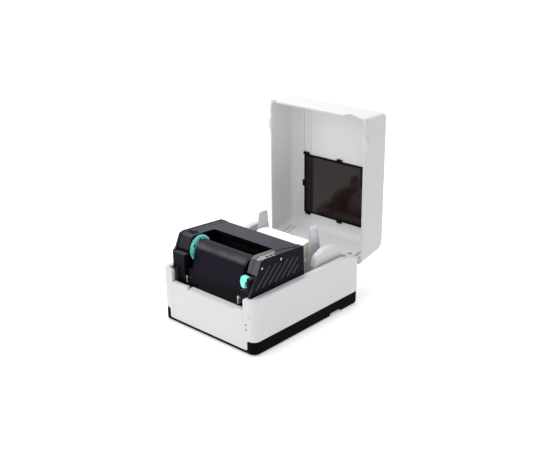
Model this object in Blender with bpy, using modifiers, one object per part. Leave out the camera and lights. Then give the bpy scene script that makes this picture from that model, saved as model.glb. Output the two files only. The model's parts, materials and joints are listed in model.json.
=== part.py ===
"""Desktop label printer with a ribbon carriage, its cover standing open.

+X is the printer's right, -Y its front and +Z up. The origin is the middle of the tray's underside.
Sizes in this file are millimetres, and the shape functions turn them into Blender's metres.
"""

import math

import bmesh
import bpy
from mathutils import Matrix, Vector

MM = 0.001

# Driving dimensions
HALF_WIDTH = 108.0
HALF_DEPTH = 136.0
RIM_TOP = 96.2
TRAY_TOP = 21.0
TRAY_STRIP = 4.0
PAD_HEIGHT = 0.4
WALL = 3.0
GAP = 0.3
CORNER_RADIUS = 12.0
PILLAR_INNER = 83.3
FRONT_WALL_BACK = -129.7
RIM_INNER = 96.2
SLOPE_START = 95.0
REAR_TOP = 84.7

# Cover, drawn closed; its hinge turns it open
LID_AXIS = (120.8, 77.3)
LID_OPEN_ANGLE = -90.0
LID_EDGE = 96.8
LID_TOP = 162.0
LID_WALL = 2.5
HINGE_ARM_X = 70.0
HINGE_ARM_WIDTH = 8.0
WINDOW_HALF_WIDTH = 77.0
WINDOW_Y = (-28.0, 88.0)

# Ribbon carriage
CARRIAGE_AXIS = (-8.0, 88.0)
CARRIAGE_HALF = 95.5
COVER_THICK = 4.0
RIBBON_OPENING = (-66.0, 72.0)
TAKE_UP_AXIS = (-86.5, 126.5)
SUPPLY_AXIS = (-28.0, 121.0)
CORE_RADIUS = 12.7
TAKE_UP_RADIUS = 17.3
SUPPLY_RADIUS = 19.0
RIBBON_HALF = 55.0
LEVER_AXIS = (-118.0, 107.0)

# Platen and its gear train
PLATEN_AXIS = (-112.0, 62.0)
PLATEN_RADIUS = 8.0
SHAFT_RADIUS = 2.5
BORE_RADIUS = 2.8
GEAR_MODULE = 0.8
PLATEN_TEETH = 26
IDLER_TEETH = 20
MOTOR_TEETH = 12
TRAIN_ANGLE = math.radians(-31.6)
GEAR_X = (66.0, 72.0)
BRACKET_X = 61.5
BRACKET_THICK = 1.5

# Label roll, its arms and the bay that holds them
ROLL_AXIS = (55.0, 79.4)
ROLL_RADIUS = 42.0
ROLL_HALF = 55.0
ROLL_CORE_RADIUS = 14.0
ARM_INNER = 58.0
ARM_THICK = 3.5
BAY_Y = (4.0, 114.0)
BAY_HALF = 94.5
BAY_FLOOR = 27.0
PINION_CENTRE = (0.0, 65.0)
PINION_TEETH = 12
PINION_RADIUS = 8.0
RACK_Z = (17.0, 22.0)

WHITE = ("white_plastic", (0.86, 0.87, 0.88), 0.42, 0.0)
LID_WHITE = ("cover_plastic", (0.84, 0.85, 0.86), 0.40, 0.0)
BLACK = ("black_plastic", (0.018, 0.016, 0.022), 0.38, 0.0)
TRAY_BLACK = ("tray_plastic", (0.012, 0.012, 0.013), 0.45, 0.0)
TURQUOISE = ("turquoise_plastic", (0.10, 0.72, 0.58), 0.40, 0.0)
RUBBER = ("rubber", (0.03, 0.03, 0.03), 0.80, 0.0)
STEEL = ("steel", (0.62, 0.61, 0.58), 0.30, 1.0)
ALUMINIUM = ("aluminium", (0.75, 0.75, 0.76), 0.35, 1.0)
BRASS = ("bush_bronze", (0.62, 0.44, 0.20), 0.40, 1.0)
RIBBON = ("ribbon_film", (0.035, 0.03, 0.045), 0.28, 0.0)
PAPER = ("label_paper", (0.93, 0.93, 0.92), 0.70, 0.0)
CARD = ("core_card", (0.50, 0.38, 0.25), 0.85, 0.0)
SMOKED = ("smoked_window", (0.020, 0.012, 0.010), 0.10, 0.0)
LENS = ("lens", (0.45, 0.46, 0.48), 0.25, 0.0)
CIRCUIT = ("circuit_board", (0.02, 0.18, 0.08), 0.50, 0.0)
GEAR_WHITE = ("gear_nylon", (0.80, 0.79, 0.74), 0.45, 0.0)


# ---------------------------------------------------------------- scene and materials
def clear_scene():
    for old in list(bpy.data.objects):
        bpy.data.objects.remove(old, do_unlink=True)


def new_collection(name):
    made = bpy.data.collections.new(name)
    bpy.context.scene.collection.children.link(made)
    return made


def material(look):
    name, colour, roughness, metallic = look
    made = bpy.data.materials.get(name)
    if made is None:
        made = bpy.data.materials.new(name)
        made.use_nodes = True
        shader = made.node_tree.nodes["Principled BSDF"]
        shader.inputs["Base Color"].default_value = (*colour, 1.0)
        shader.inputs["Roughness"].default_value = roughness
        shader.inputs["Metallic"].default_value = metallic
        made.diffuse_color = (*colour, 1.0)
    return made


def add(name, mesh, look=None, location=(0, 0, 0)):
    """Object of MESH; without a look it is a cutter or a piece joined to another."""
    made = bpy.data.objects.new(name, mesh)
    made.location = Vector(location) * MM
    if look is None:
        CUTTERS.objects.link(made)
        made.hide_render = True
        made.display_type = "WIRE"
    else:
        PARTS.objects.link(made)
        mesh.materials.append(material(look))
    return made


# ---------------------------------------------------------------- shapes
def box(name, x, y, z, look=None):
    """Box between two limits on each axis."""
    size = [(b - a) * MM for a, b in (x, y, z)]
    shape = bmesh.new()
    bmesh.ops.create_cube(shape, size=1.0, matrix=Matrix.Diagonal((*size, 1.0)))
    mesh = bpy.data.meshes.new(name)
    shape.to_mesh(mesh)
    shape.free()
    return add(name, mesh, look, [(a + b) / 2 for a, b in (x, y, z)])


def bevel(target, width, segments=2):
    modifier = target.modifiers.new("rounded", "BEVEL")
    modifier.width = width * MM
    modifier.segments = segments
    modifier.limit_method = "ANGLE"
    modifier.angle_limit = math.radians(50)


TURN_TO_AXIS = {"X": (0, math.pi / 2, 0), "Y": (-math.pi / 2, 0, 0), "Z": (0, 0, 0)}


def cylinder(name, axis, centre, radius, span, look=None, sides=16):
    """Cylinder along AXIS over SPAN; CENTRE is the other two coordinates in X, Y, Z order."""
    shape = bmesh.new()
    bmesh.ops.create_cone(shape, cap_ends=True, segments=sides, radius1=radius * MM,
                          radius2=radius * MM, depth=(span[1] - span[0]) * MM)
    mesh = bpy.data.meshes.new(name)
    shape.to_mesh(mesh)
    shape.free()
    made = add(name, mesh, look, on_axis(axis, centre, sum(span) / 2))
    made.rotation_euler = TURN_TO_AXIS[axis]
    shade_round(mesh)
    return made


def on_axis(axis, centre, along):
    position = list(centre)
    position.insert("XYZ".index(axis), along)
    return position


def shade_round(mesh):
    mesh.shade_smooth()
    mesh.set_sharp_from_angle(angle=math.radians(35))


def turned(name, axis, centre, profile, look, steps=24):
    """Solid turned about AXIS. PROFILE lists (radius, place along the axis), outer side top to bottom."""
    mesh = bpy.data.meshes.new(name)
    shape = bmesh.new()
    corners = [shape.verts.new((radius * MM, 0, along * MM)) for radius, along in profile]
    closed = profile[0][0] > 0
    for first, second in zip(corners, corners[1:] + corners[:1] if closed else corners[1:]):
        shape.edges.new((first, second))
    shape.to_mesh(mesh)
    shape.free()
    made = add(name, mesh, look, on_axis(axis, centre, 0))
    made.rotation_euler = TURN_TO_AXIS[axis]
    screw = made.modifiers.new("turned", "SCREW")
    screw.axis = "Z"
    screw.steps = steps
    screw.render_steps = steps
    screw.use_merge_vertices = True
    screw.merge_threshold = 0.00001
    return made


def ring(name, axis, centre, inner, outer, span, look, steps=24):
    profile = [(outer, span[1]), (outer, span[0]), (inner, span[0]), (inner, span[1])]
    return turned(name, axis, centre, profile, look, steps)


PLANE_TO_WORLD = {
    "XY": Matrix(((1, 0, 0), (0, 1, 0), (0, 0, 1))),
    "YZ": Matrix(((0, 0, 1), (1, 0, 0), (0, 1, 0))),
    "XZ": Matrix(((1, 0, 0), (0, 0, -1), (0, 1, 0))),
}


def plate(name, plane, outline, span, look=None, holes=()):
    """Flat outline in PLANE, as thick as SPAN along the third axis, with round HOLES (u, v, radius)."""
    curve = bpy.data.curves.new(name, "CURVE")
    curve.dimensions = "2D"
    curve.fill_mode = "BOTH"
    curve.extrude = (span[1] - span[0]) / 2 * MM
    for loop in [outline] + [circle((u, v), radius, 16) for u, v, radius in holes]:
        spline = curve.splines.new("POLY")
        spline.points.add(len(loop) - 1)
        for point, (u, v) in zip(spline.points, loop):
            point.co = (u * MM, v * MM, 0, 1)
        spline.use_cyclic_u = True
    flat = bpy.data.objects.new(name + "_outline", curve)
    CUTTERS.objects.link(flat)
    evaluated = flat.evaluated_get(bpy.context.evaluated_depsgraph_get())
    mesh = bpy.data.meshes.new_from_object(evaluated)
    bpy.data.objects.remove(flat, do_unlink=True)
    shape = bmesh.new()
    shape.from_mesh(mesh)
    bmesh.ops.remove_doubles(shape, verts=shape.verts, dist=0.000001)
    bmesh.ops.transform(shape, matrix=PLANE_TO_WORLD[plane].to_4x4(), verts=shape.verts)
    bmesh.ops.recalc_face_normals(shape, faces=shape.faces)
    shape.to_mesh(mesh)
    shape.free()
    mesh.materials.clear()
    mesh.name = name
    shade_round(mesh)
    location = [0.0, 0.0, 0.0]
    location[{"XY": 2, "YZ": 0, "XZ": 1}[plane]] = sum(span) / 2
    return add(name, mesh, look, location)


# ---------------------------------------------------------------- outlines
def circle(centre, radius, sides, start=0.0):
    step = 2 * math.pi / sides
    return [
        (centre[0] + radius * math.cos(start + k * step), centre[1] + radius * math.sin(start + k * step))
        for k in range(sides)
    ]


def arc(centre, radius, start, end, segments=4, flatten=1.0):
    """Points of an arc, in degrees; FLATTEN scales its height."""
    turns = [math.radians(start + (end - start) * k / segments) for k in range(segments + 1)]
    return [(centre[0] + radius * math.cos(t), centre[1] + radius * flatten * math.sin(t)) for t in turns]


def rounded_rectangle(half_u, half_v, radius, segments=4):
    corners = [(1, 1, 0), (-1, 1, 90), (-1, -1, 180), (1, -1, 270)]
    points = []
    for side_u, side_v, start in corners:
        centre = (side_u * (half_u - radius), side_v * (half_v - radius))
        points += arc(centre, radius, start, start + 90, segments)
    return points


TOOTH = ((-0.30, -1.05), (-0.13, 0.80), (0.13, 0.80), (0.30, -1.05))


def gear_outline(centre, teeth, module, tooth_at):
    """Spur gear with one tooth at the angle TOOTH_AT; its flanks are thinned for running backlash."""
    pitch = 2 * math.pi / teeth
    points = []
    for k in range(teeth):
        for offset, height in TOOTH:
            angle = tooth_at + (k + offset) * pitch
            radius = module * (teeth / 2 + height)
            points.append((centre[0] + radius * math.cos(angle), centre[1] + radius * math.sin(angle)))
    return points


def rack_outline(start, foot, pitch_line, module):
    """Bar along X with teeth facing -Y and a gap between teeth at X = 0; it ends in a square FOOT (x, y)."""
    pitch = math.pi * module
    root = pitch_line + 1.05 * module
    back = pitch_line + 6.0
    points = [(start, back), (start, root)]
    middle = (math.ceil(start / pitch) + 0.5) * pitch
    while middle + pitch < foot[0][0]:
        points += [(middle + offset * pitch, pitch_line - height * module) for offset, height in TOOTH]
        middle += pitch
    points += [(foot[0][0], root), (foot[0][0], foot[1]), (foot[0][1], foot[1]), (foot[0][1], back)]
    return points


# ---------------------------------------------------------------- joining, cutting, placing
def set_parent(child, parent):
    bpy.context.view_layer.update()
    child.parent = parent
    child.matrix_parent_inverse = parent.matrix_world.inverted()


def combine(target, tool, operation, solver="EXACT"):
    modifier = target.modifiers.new(operation.lower(), "BOOLEAN")
    modifier.operation = operation
    modifier.solver = solver
    modifier.object = tool
    set_parent(tool, target)


def cut(target, *tools):
    for tool in tools:
        combine(target, tool, "DIFFERENCE")


def join(target, *tools):
    for tool in tools:
        combine(target, tool, "UNION")


def axis_empty(name, position):
    empty = bpy.data.objects.new(name, None)
    empty.location = Vector(position) * MM
    PARTS.objects.link(empty)
    return empty


def ride(empty, *pieces):
    for piece in pieces:
        set_parent(piece, empty)


# ---------------------------------------------------------------- base of the printer
def make_tray():
    outline = rounded_rectangle(HALF_WIDTH - 0.5, HALF_DEPTH - 0.5, CORNER_RADIUS - 0.5)
    tray = plate("bottom_tray", "XY", outline, (PAD_HEIGHT, TRAY_TOP), TRAY_BLACK)
    inner = rounded_rectangle(HALF_WIDTH - WALL, HALF_DEPTH - WALL, CORNER_RADIUS - WALL)
    hollow = plate("tray_hollow", "XY", inner, (2.5, 40))
    front = box("tray_front_gap", (-93.6, 93.6), (-150, -125), (TRAY_STRIP, 40))
    heel = [(126.7, -1), (126.7, 0), (136.3, 24), (150, 24), (150, -1)]
    rear = plate("tray_heel", "YZ", heel, (-120, 120))
    cut(tray, hollow, front, rear)
    join(tray, box("tray_heel_skin", (-100, 100), (124, 129.5), (2.2, 5.5)))
    for side in (-1, 1):
        ends = sorted((side * 105.4, side * 120))
        cut(tray, box("tray_side_notch", ends, (50, 80), (-1, 2.3)))
    join(tray, cylinder("pinion_post", "Z", PINION_CENTRE, 2.2, (2, RACK_Z[1] + 1)))
    join(tray, box("tray_pad", (-70, 70), (-90, 90), (0, 1.5)))
    return tray


def make_feet():
    for front_back, y in (("front", -112), ("rear", 104)):
        for left_right, x in (("left", -90), ("right", 90)):
            name = f"rubber_foot_{front_back}_{left_right}"
            profile = [(0, PAD_HEIGHT - GAP), (8, PAD_HEIGHT - GAP), (7.4, -1.8), (0, -1.8)]
            turned(name, "Z", (x, y), profile, RUBBER, 16)


def make_body_shell():
    """White housing: side and rear walls, flat rim and the two front pillars."""
    outline = rounded_rectangle(HALF_WIDTH, HALF_DEPTH, CORNER_RADIUS, 5)
    shell = plate("body_shell", "XY", outline, (TRAY_STRIP + GAP, RIM_TOP), WHITE)
    inside = [(FRONT_WALL_BACK, -1), (133, -1), (133, REAR_TOP - 2.6), (SLOPE_START, RIM_TOP - 2.9),
              (FRONT_WALL_BACK, RIM_TOP - 2.9)]
    cut(shell, plate("body_inside", "YZ", inside, (-HALF_WIDTH + WALL, HALF_WIDTH - WALL)))
    slope = [(SLOPE_START, RIM_TOP), (150, 80.8), (150, 120), (SLOPE_START, 120)]
    cut(shell, plate("rear_slope", "YZ", slope, (-150, 150)))
    cut(shell, box("tray_room", (-150, 150), (-132.7, 150), (-1, TRAY_TOP + GAP)))
    for side in (-1, 1):
        corner = sorted((side * 93.3, side * 150))
        cut(shell, box("tray_corner_room", corner, (-150, 0), (-1, TRAY_TOP + GAP)))
    cut(shell, box("panel_opening", (-PILLAR_INNER, PILLAR_INNER), (-150, -120), (-1, 120)))
    cut(shell, box("top_opening", (-RIM_INNER, RIM_INNER), (FRONT_WALL_BACK, 117.5), (80, 120)))
    hinge_lugs(shell)
    carriage_bosses(shell)
    rear_cutouts(shell)
    front_cutouts(shell)
    return shell


def hinge_lugs(shell):
    y, z = LID_AXIS
    slot_half = HINGE_ARM_WIDTH / 2 + 1.2
    for side in (-1, 1):
        x = side * HINGE_ARM_X
        cut(shell, box("hinge_slot", (x - slot_half, x + slot_half), (112, 150), (66.5, 120)))
        for offset in (-1, 1):
            inner = x + offset * (slot_half - 0.2)
            ends = sorted((inner, inner + offset * 3))
            lug = [(134, 70), (134, 83), (126, 84), *arc((y, z), 4.8, 60, 270, 6), (126, 70)]
            join(shell, plate("hinge_lug", "YZ", lug, ends, holes=[(y, z, BORE_RADIUS)]))


def carriage_bosses(shell):
    for side in (-1, 1):
        body = sorted((side * 97.0, side * 105.6))
        hole = sorted((side * 90.0, side * 104.4))
        join(shell, cylinder("pivot_boss", "X", CARRIAGE_AXIS, 5.0, body))
        cut(shell, cylinder("pivot_hole", "X", CARRIAGE_AXIS, BORE_RADIUS, hole))


SWITCH_CENTRE = (-40.0, 46.0)
INLET_CENTRE = (-70.0, 44.0)
USB_CENTRE = (10.0, 43.5)


def rear_cutouts(shell):
    openings = ((SWITCH_CENTRE, 9.0, 6.6), (INLET_CENTRE, 7.3, 7.3), (USB_CENTRE, 6.3, 5.8))
    for (x, z), half_x, half_z in openings:
        limits = (x - half_x, x + half_x), (128, 140), (z - half_z, z + half_z)
        cut(shell, box("rear_cutout", *limits))


LENS_X = 90.0
LENS_HEIGHTS = (51.4, 42.7)
BUTTON_CENTRE = (94.0, 66.0)


def front_cutouts(shell):
    for z in LENS_HEIGHTS:
        cut(shell, box("lens_slot", (LENS_X - 2.1, LENS_X + 2.1), (-140, -125), (z - 1.1, z + 1.1)))
    cut(shell, cylinder("button_hole", "Y", BUTTON_CENTRE, 5.0, (-140, -125)))


def make_front_panel():
    lip = [(-HALF_DEPTH, TRAY_STRIP + GAP), (-HALF_DEPTH, 68.6), (-134.4, 70.2), (-127.6, 70.2),
           (-127.6, 68.0), (-133.2, 68.0), (-133.2, TRAY_STRIP + GAP)]
    ends = (-PILLAR_INNER + GAP, PILLAR_INNER - GAP)
    panel = plate("front_panel", "YZ", lip, ends, WHITE)
    join(panel, box("panel_left_block", (ends[0], -46), (-HALF_DEPTH + 0.2, -130), (66, 75.2)))
    join(panel, box("panel_right_block", (65, ends[1]), (-HALF_DEPTH + 0.2, -128), (66, 75.0)))
    return panel


def make_rear_connectors():
    x, z = INLET_CENTRE
    inlet = box("power_inlet", (x - 7, x + 7), (121, 135.7), (z - 7, z + 7), BLACK)
    cut(inlet, cylinder("inlet_bore", "Y", INLET_CENTRE, 3.4, (124, 140)))
    join(inlet, cylinder("inlet_pin", "Y", INLET_CENTRE, 1.0, (123, 134), sides=8))
    x, z = USB_CENTRE
    port = box("usb_port", (x - 6, x + 6), (118, 135.7), (z - 5.5, z + 5.5), STEEL)
    cut(port, box("usb_bore", (x - 4.3, x + 4.3), (125, 140), (z - 3.9, z + 3.9)))
    join(port, box("usb_tongue", (x - 2.8, x + 2.8), (124, 133.5), (z - 1.6, z + 1.6)))


def make_switch():
    """Rocker whose two faces meet in a shallow V; it rests with its lower face pressed in."""
    x, z = SWITCH_CENTRE
    pivot = (133.0, z)
    polar = ((6.2, 55), (3.4, 0), (6.2, -55), (5.0, -140), (5.0, 140))
    tilt = 8
    outline = [
        (pivot[0] + r * math.cos(math.radians(a + tilt)), pivot[1] + r * math.sin(math.radians(a + tilt)))
        for r, a in polar
    ]
    rocker = plate("power_switch", "YZ", outline, (x - 8.6, x + 8.6), BLACK)
    ride(axis_empty("switch_axis", (x, *pivot)), rocker)


def make_front_controls():
    x = (LENS_X - 1.8, LENS_X + 1.8)
    upper, lower = LENS_HEIGHTS
    guide = box("led_light_guide", x, (-129.4, -127.4), (lower - 2.5, upper + 2.5), LENS)
    for z in LENS_HEIGHTS:
        join(guide, box("lens", x, (-136.2, -129), (z - 0.8, z + 0.8)))
    profile = [(0, -128.4), (5.8, -128.4), (5.8, -129.3), (4.6, -129.3), (4.6, -136.4), (0, -136.4)]
    button = turned("feed_button", "Y", BUTTON_CENTRE, profile, WHITE, 20)
    ride(axis_empty("button_axis", (BUTTON_CENTRE[0], -136.4, BUTTON_CENTRE[1])), button)


def make_board():
    board = box("main_board", (-85, 85), (-52, 45), (6.0, 7.6), CIRCUIT)
    parts = (((-60, -30), (-40, -10), 16), ((-10, 20), (-35, -5), 10.5), ((40, 70), (5, 35), 18),
             ((-70, -20), (20, 32), 14))
    for x, y, top in parts:
        join(board, box("board_component", x, y, (7.0, top)))
    return board


# ---------------------------------------------------------------- print mechanism
def along_train(distance):
    """Point on the straight line of gear centres that starts at the platen."""
    y, z = PLATEN_AXIS
    return (y + distance * math.cos(TRAIN_ANGLE), z + distance * math.sin(TRAIN_ANGLE))


IDLER_AXIS = along_train(GEAR_MODULE * (PLATEN_TEETH + IDLER_TEETH) / 2)
MOTOR_AXIS = along_train(GEAR_MODULE * (PLATEN_TEETH + 2 * IDLER_TEETH + MOTOR_TEETH) / 2)


def make_brackets():
    """Steel side plates with an open slot that the platen's bushes drop into."""
    y, z = PLATEN_AXIS
    outline = [(-126, 3), (-126, 66.5), (-124, 68.5), (y - 5.3, 68.5), *arc((y, z), 5.3, 180, 360, 8),
               (y + 5.3, 68.5), (-60, 68.5), (-54, 62), (-54, 3)]
    left = (-BRACKET_X - BRACKET_THICK, -BRACKET_X)
    right = (BRACKET_X, BRACKET_X + BRACKET_THICK)
    plate("platen_bracket_left", "YZ", outline, left, STEEL)
    holes = [(*MOTOR_AXIS, 3.6)]
    bracket = plate("platen_bracket_right", "YZ", outline, right, STEEL, holes)
    join(bracket, cylinder("idler_pin", "X", IDLER_AXIS, 2.2, (62, 73.0)))
    for name, span in (("platen_bush_left", (-65.0, -58.0)), ("platen_bush_right", (58.0, 65.0))):
        ring(name, "X", PLATEN_AXIS, BORE_RADIUS, 5.0, span, BRASS, 16)


def make_platen():
    """Rubber roller on a steel shaft that carries the driven gear."""
    roller = ring("platen_roller", "X", PLATEN_AXIS, BORE_RADIUS, PLATEN_RADIUS, (-56, 56), RUBBER)
    shaft = cylinder("platen_shaft", "X", PLATEN_AXIS, SHAFT_RADIUS, (-66.5, 73.0), STEEL)
    outline = gear_outline(PLATEN_AXIS, PLATEN_TEETH, GEAR_MODULE, TRAIN_ANGLE)
    gear = plate("platen_gear", "YZ", outline, GEAR_X, GEAR_WHITE, [(*PLATEN_AXIS, BORE_RADIUS)])
    ride(axis_empty("platen_axis", (0, *PLATEN_AXIS)), roller, shaft, gear)


def make_drive():
    """Stepper motor and the two gears between it and the platen."""
    y, z = MOTOR_AXIS
    motor = box("stepper_motor", (28, 61), (y - 17.5, y + 17.5), (z - 17.5, z + 17.5), STEEL)
    bevel(motor, 2.0, 1)
    cut(motor, cylinder("motor_bore", "X", MOTOR_AXIS, BORE_RADIUS, (48, 70)))
    between = TRAIN_ANGLE + math.pi + math.pi / IDLER_TEETH
    outline = gear_outline(IDLER_AXIS, IDLER_TEETH, GEAR_MODULE, between)
    idler = plate("idler_gear", "YZ", outline, GEAR_X, GEAR_WHITE, [(*IDLER_AXIS, 2.5)])
    ride(axis_empty("idler_axis", (0, *IDLER_AXIS)), idler)
    outline = gear_outline(MOTOR_AXIS, MOTOR_TEETH, GEAR_MODULE, TRAIN_ANGLE + math.pi)
    pinion = plate("motor_gear", "YZ", outline, GEAR_X, BRASS)
    join(pinion, cylinder("motor_shaft", "X", MOTOR_AXIS, SHAFT_RADIUS, (50, 67)))
    ride(axis_empty("motor_axis", (0, *MOTOR_AXIS)), pinion)


SENSOR_Y = (-50.0, -42.0)


def make_media_guide():
    """Deck that the labels slide over, with the slot of the moving sensor."""
    guide = box("media_guide", (-59, 59), (-102, 3.6), (64.5, 66.5), BLACK)
    cut(guide, box("sensor_slot", (-52, 52), SENSOR_Y, (60, 70)))
    front, back = SENSOR_Y
    sensor = box("media_sensor", (-6, 6), (front + 0.4, back - 0.4), (60, 66.8), BLACK)
    join(sensor, box("sensor_flange", (-6, 6), (front - 2, back + 2), (60.5, 64.1)))
    ride(axis_empty("sensor_axis", (0, (front + back) / 2, 64)), sensor)


def make_tear_bar():
    """Thin steel strip with a saw edge, just behind the panel's lip."""
    teeth = 28
    pitch = 112 / teeth
    outline = [(56, -121.8), (-56, -121.8)]
    for k in range(teeth):
        outline += [(-56 + k * pitch, -126.2), (-56 + (k + 0.5) * pitch, -127.2)]
    outline.append((56, -126.2))
    return plate("tear_bar", "XY", outline, (68.9, 70.0), STEEL)


# ---------------------------------------------------------------- label bay
def make_bay():
    """White tub behind the carriage, open at the top, with slots for the sliding arms."""
    front, rear = BAY_Y
    outer = [(front, 24.5), (rear, 24.5), (rear, 87.0), (SLOPE_START, 92.6), (front + 12, 92.6), (front, 80)]
    bay = plate("media_bay", "YZ", outer, (-BAY_HALF, BAY_HALF), WHITE)
    inside = (-BAY_HALF + 2, BAY_HALF - 2), (front + 2, rear - 2), (BAY_FLOOR, 120)
    cut(bay, box("bay_inside", *inside))
    cut(bay, box("label_way", (-60, 60), (0, 8), (64.2, 120)))
    for side in (-1, 1):
        ends = sorted((side * 56.5, side * 77.0))
        cut(bay, box("arm_slot", ends, (60.5, 69.5), (20, 30)))
    for name, side in (("bay_housing_left", -1), ("bay_housing_right", 1)):
        dome = [(30, BAY_FLOOR + GAP), (105, BAY_FLOOR + GAP), (105, 96),
                *arc((67.5, 96), 37.5, 15, 165, 8, 0.64), (30, 96)]
        plate(name, "YZ", dome, sorted((side * 80.0, side * 92.0)), WHITE)


def make_arm(side_name, side):
    """Roll arm: tapered plate, stem through the floor, and under it the rack that the pinion turns."""
    y_pinion = PINION_CENTRE[1]
    blade = [(48, 28), (84, 28), (84, 84), (75.5, 149), *arc((72.5, 149), 3, 0, 90, 2),
             *arc((59.5, 149), 3, 90, 180, 2), (49, 84)]
    span = sorted((side * ARM_INNER, side * (ARM_INNER + ARM_THICK)))
    arm = plate(f"media_arm_{side_name}", "YZ", blade, span, WHITE)
    stem = sorted((side * (ARM_INNER + 0.3), side * (ARM_INNER + 2.8)))
    join(arm, box("arm_stem", stem, (62.3, 68.7), (RACK_Z[1] + GAP, 29)))
    module = 2 * PINION_RADIUS / PINION_TEETH
    foot = ((52.0, ARM_INNER + 3.1), y_pinion - 3.5)
    outline = rack_outline(-22.0, foot, y_pinion + PINION_RADIUS, module)
    outline = [(side * u, y_pinion + side * (v - y_pinion)) for u, v in outline]
    rack = plate(f"arm_rack_{side_name}", "XY", outline, RACK_Z, WHITE)
    hub_span = [ARM_INNER - GAP, ARM_INNER - 2.6, 51.2]
    profile = [(0, hub_span[0]), (18, hub_span[0]), (18, hub_span[1]), (12.2, hub_span[1]),
               (12.2, hub_span[2] + 1.5), (10.8, hub_span[2]), (0, hub_span[2])]
    if side < 0:
        profile = [(radius, -along) for radius, along in reversed(profile)]
    hub = turned(f"arm_hub_{side_name}", "X", ROLL_AXIS, profile, WHITE)
    ride(axis_empty(f"arm_slide_{side_name}", (side * ARM_INNER, y_pinion, RACK_Z[1])), arm, rack, hub)


def make_pinion():
    module = 2 * PINION_RADIUS / PINION_TEETH
    outline = gear_outline(PINION_CENTRE, PINION_TEETH, module, math.pi / 2)
    pinion = plate("arm_pinion", "XY", outline, RACK_Z, GEAR_WHITE, [(*PINION_CENTRE, 2.5)])
    ride(axis_empty("pinion_axis", (*PINION_CENTRE, RACK_Z[0])), pinion)


def make_roll():
    """Roll of blank labels wound on a card core."""
    ends = (-ROLL_HALF, ROLL_HALF)
    roll = ring("label_roll", "X", ROLL_AXIS, ROLL_CORE_RADIUS + GAP, ROLL_RADIUS, ends, PAPER, 48)
    core = ring("roll_core", "X", ROLL_AXIS, CORE_RADIUS, ROLL_CORE_RADIUS, ends, CARD)
    ride(axis_empty("roll_axis", (0, *ROLL_AXIS)), roll, core)


# ---------------------------------------------------------------- cover
def lid_profile(inset):
    """Side view of the closed cover, moved inwards by INSET; it runs on below the cover's edge."""
    front, top, rear = -HALF_DEPTH + inset, LID_TOP - inset, 129.3 - inset
    nose = 10.0 - inset / 2
    crown = 20.0 - inset / 2
    return [(front, 80), *arc((front + nose, top - nose), nose, 180, 90, 3),
            *arc((rear - 10.0 - crown, top - crown), crown, 90, 0, 5), (rear, LID_EDGE), (rear, 80)]


def make_lid():
    """Deep cover with a window, and the two arms that reach down to the hinge pins."""
    half = HALF_WIDTH
    lid = plate("lid_shell", "YZ", lid_profile(0), (-half, half), LID_WHITE)
    bevel(lid, 8.0, 3)
    inside = plate("lid_inside", "YZ", lid_profile(LID_WALL), (-half + LID_WALL, half - LID_WALL))
    bevel(inside, 6.0, 2)
    cut(lid, inside)
    cut(lid, box("lid_below", (-150, 150), (-160, 160), (60, LID_EDGE)))
    cut(lid, box("window_hole", (-71, 71), (WINDOW_Y[0] + 6, WINDOW_Y[1] - 6), (150, 170)))
    notch = [(64, 90), (64, LID_EDGE), (72, 103.5), (94, 103.5), (100, LID_EDGE), (100, 90)]
    cut(lid, plate("front_edge_notch", "XZ", notch, (-140, -128)))
    cut(lid, box("front_edge_ear", (-101, -94), (-140, -128), (90, 101)))
    y, z = LID_AXIS
    arm = [*arc((y, z), 5.5, 180, 360, 6), (126.3, LID_EDGE), (122.8, 112), (118.5, 112), (115.5, 98)]
    arms = []
    for name, side in (("left", -1), ("right", 1)):
        x = side * HINGE_ARM_X
        span = (x - HINGE_ARM_WIDTH / 2, x + HINGE_ARM_WIDTH / 2)
        holes = [(y, z, BORE_RADIUS)]
        arms.append(plate(f"lid_hinge_arm_{name}", "YZ", arm, span, LID_WHITE, holes))
        grip = [(-114, LID_EDGE), (-78, LID_EDGE), (-84, 104), (-108, 104)]
        ends = sorted((side * (half - 1.0), side * (half + 4.0)))
        join(lid, plate("finger_grip", "YZ", grip, ends))
    limits = (-WINDOW_HALF_WIDTH, WINDOW_HALF_WIDTH), WINDOW_Y, (157.0, LID_TOP - LID_WALL - GAP)
    window = box("lid_window", *limits, SMOKED)
    hinge = axis_empty("lid_axis", (0, *LID_AXIS))
    ride(hinge, lid, window, *arms)
    hinge.rotation_euler = (math.radians(LID_OPEN_ANGLE), 0, 0)
    reach = HINGE_ARM_X + 8.6
    cylinder("lid_hinge_rod", "X", LID_AXIS, SHAFT_RADIUS, (-reach, reach), STEEL)


# ---------------------------------------------------------------- ribbon carriage
SLANT = [(-114.6, 129.6), (-104.5, 151.4), (-96.4, 153.4), (-50.7, 150.5), (-2.8, 147.5)]


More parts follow.
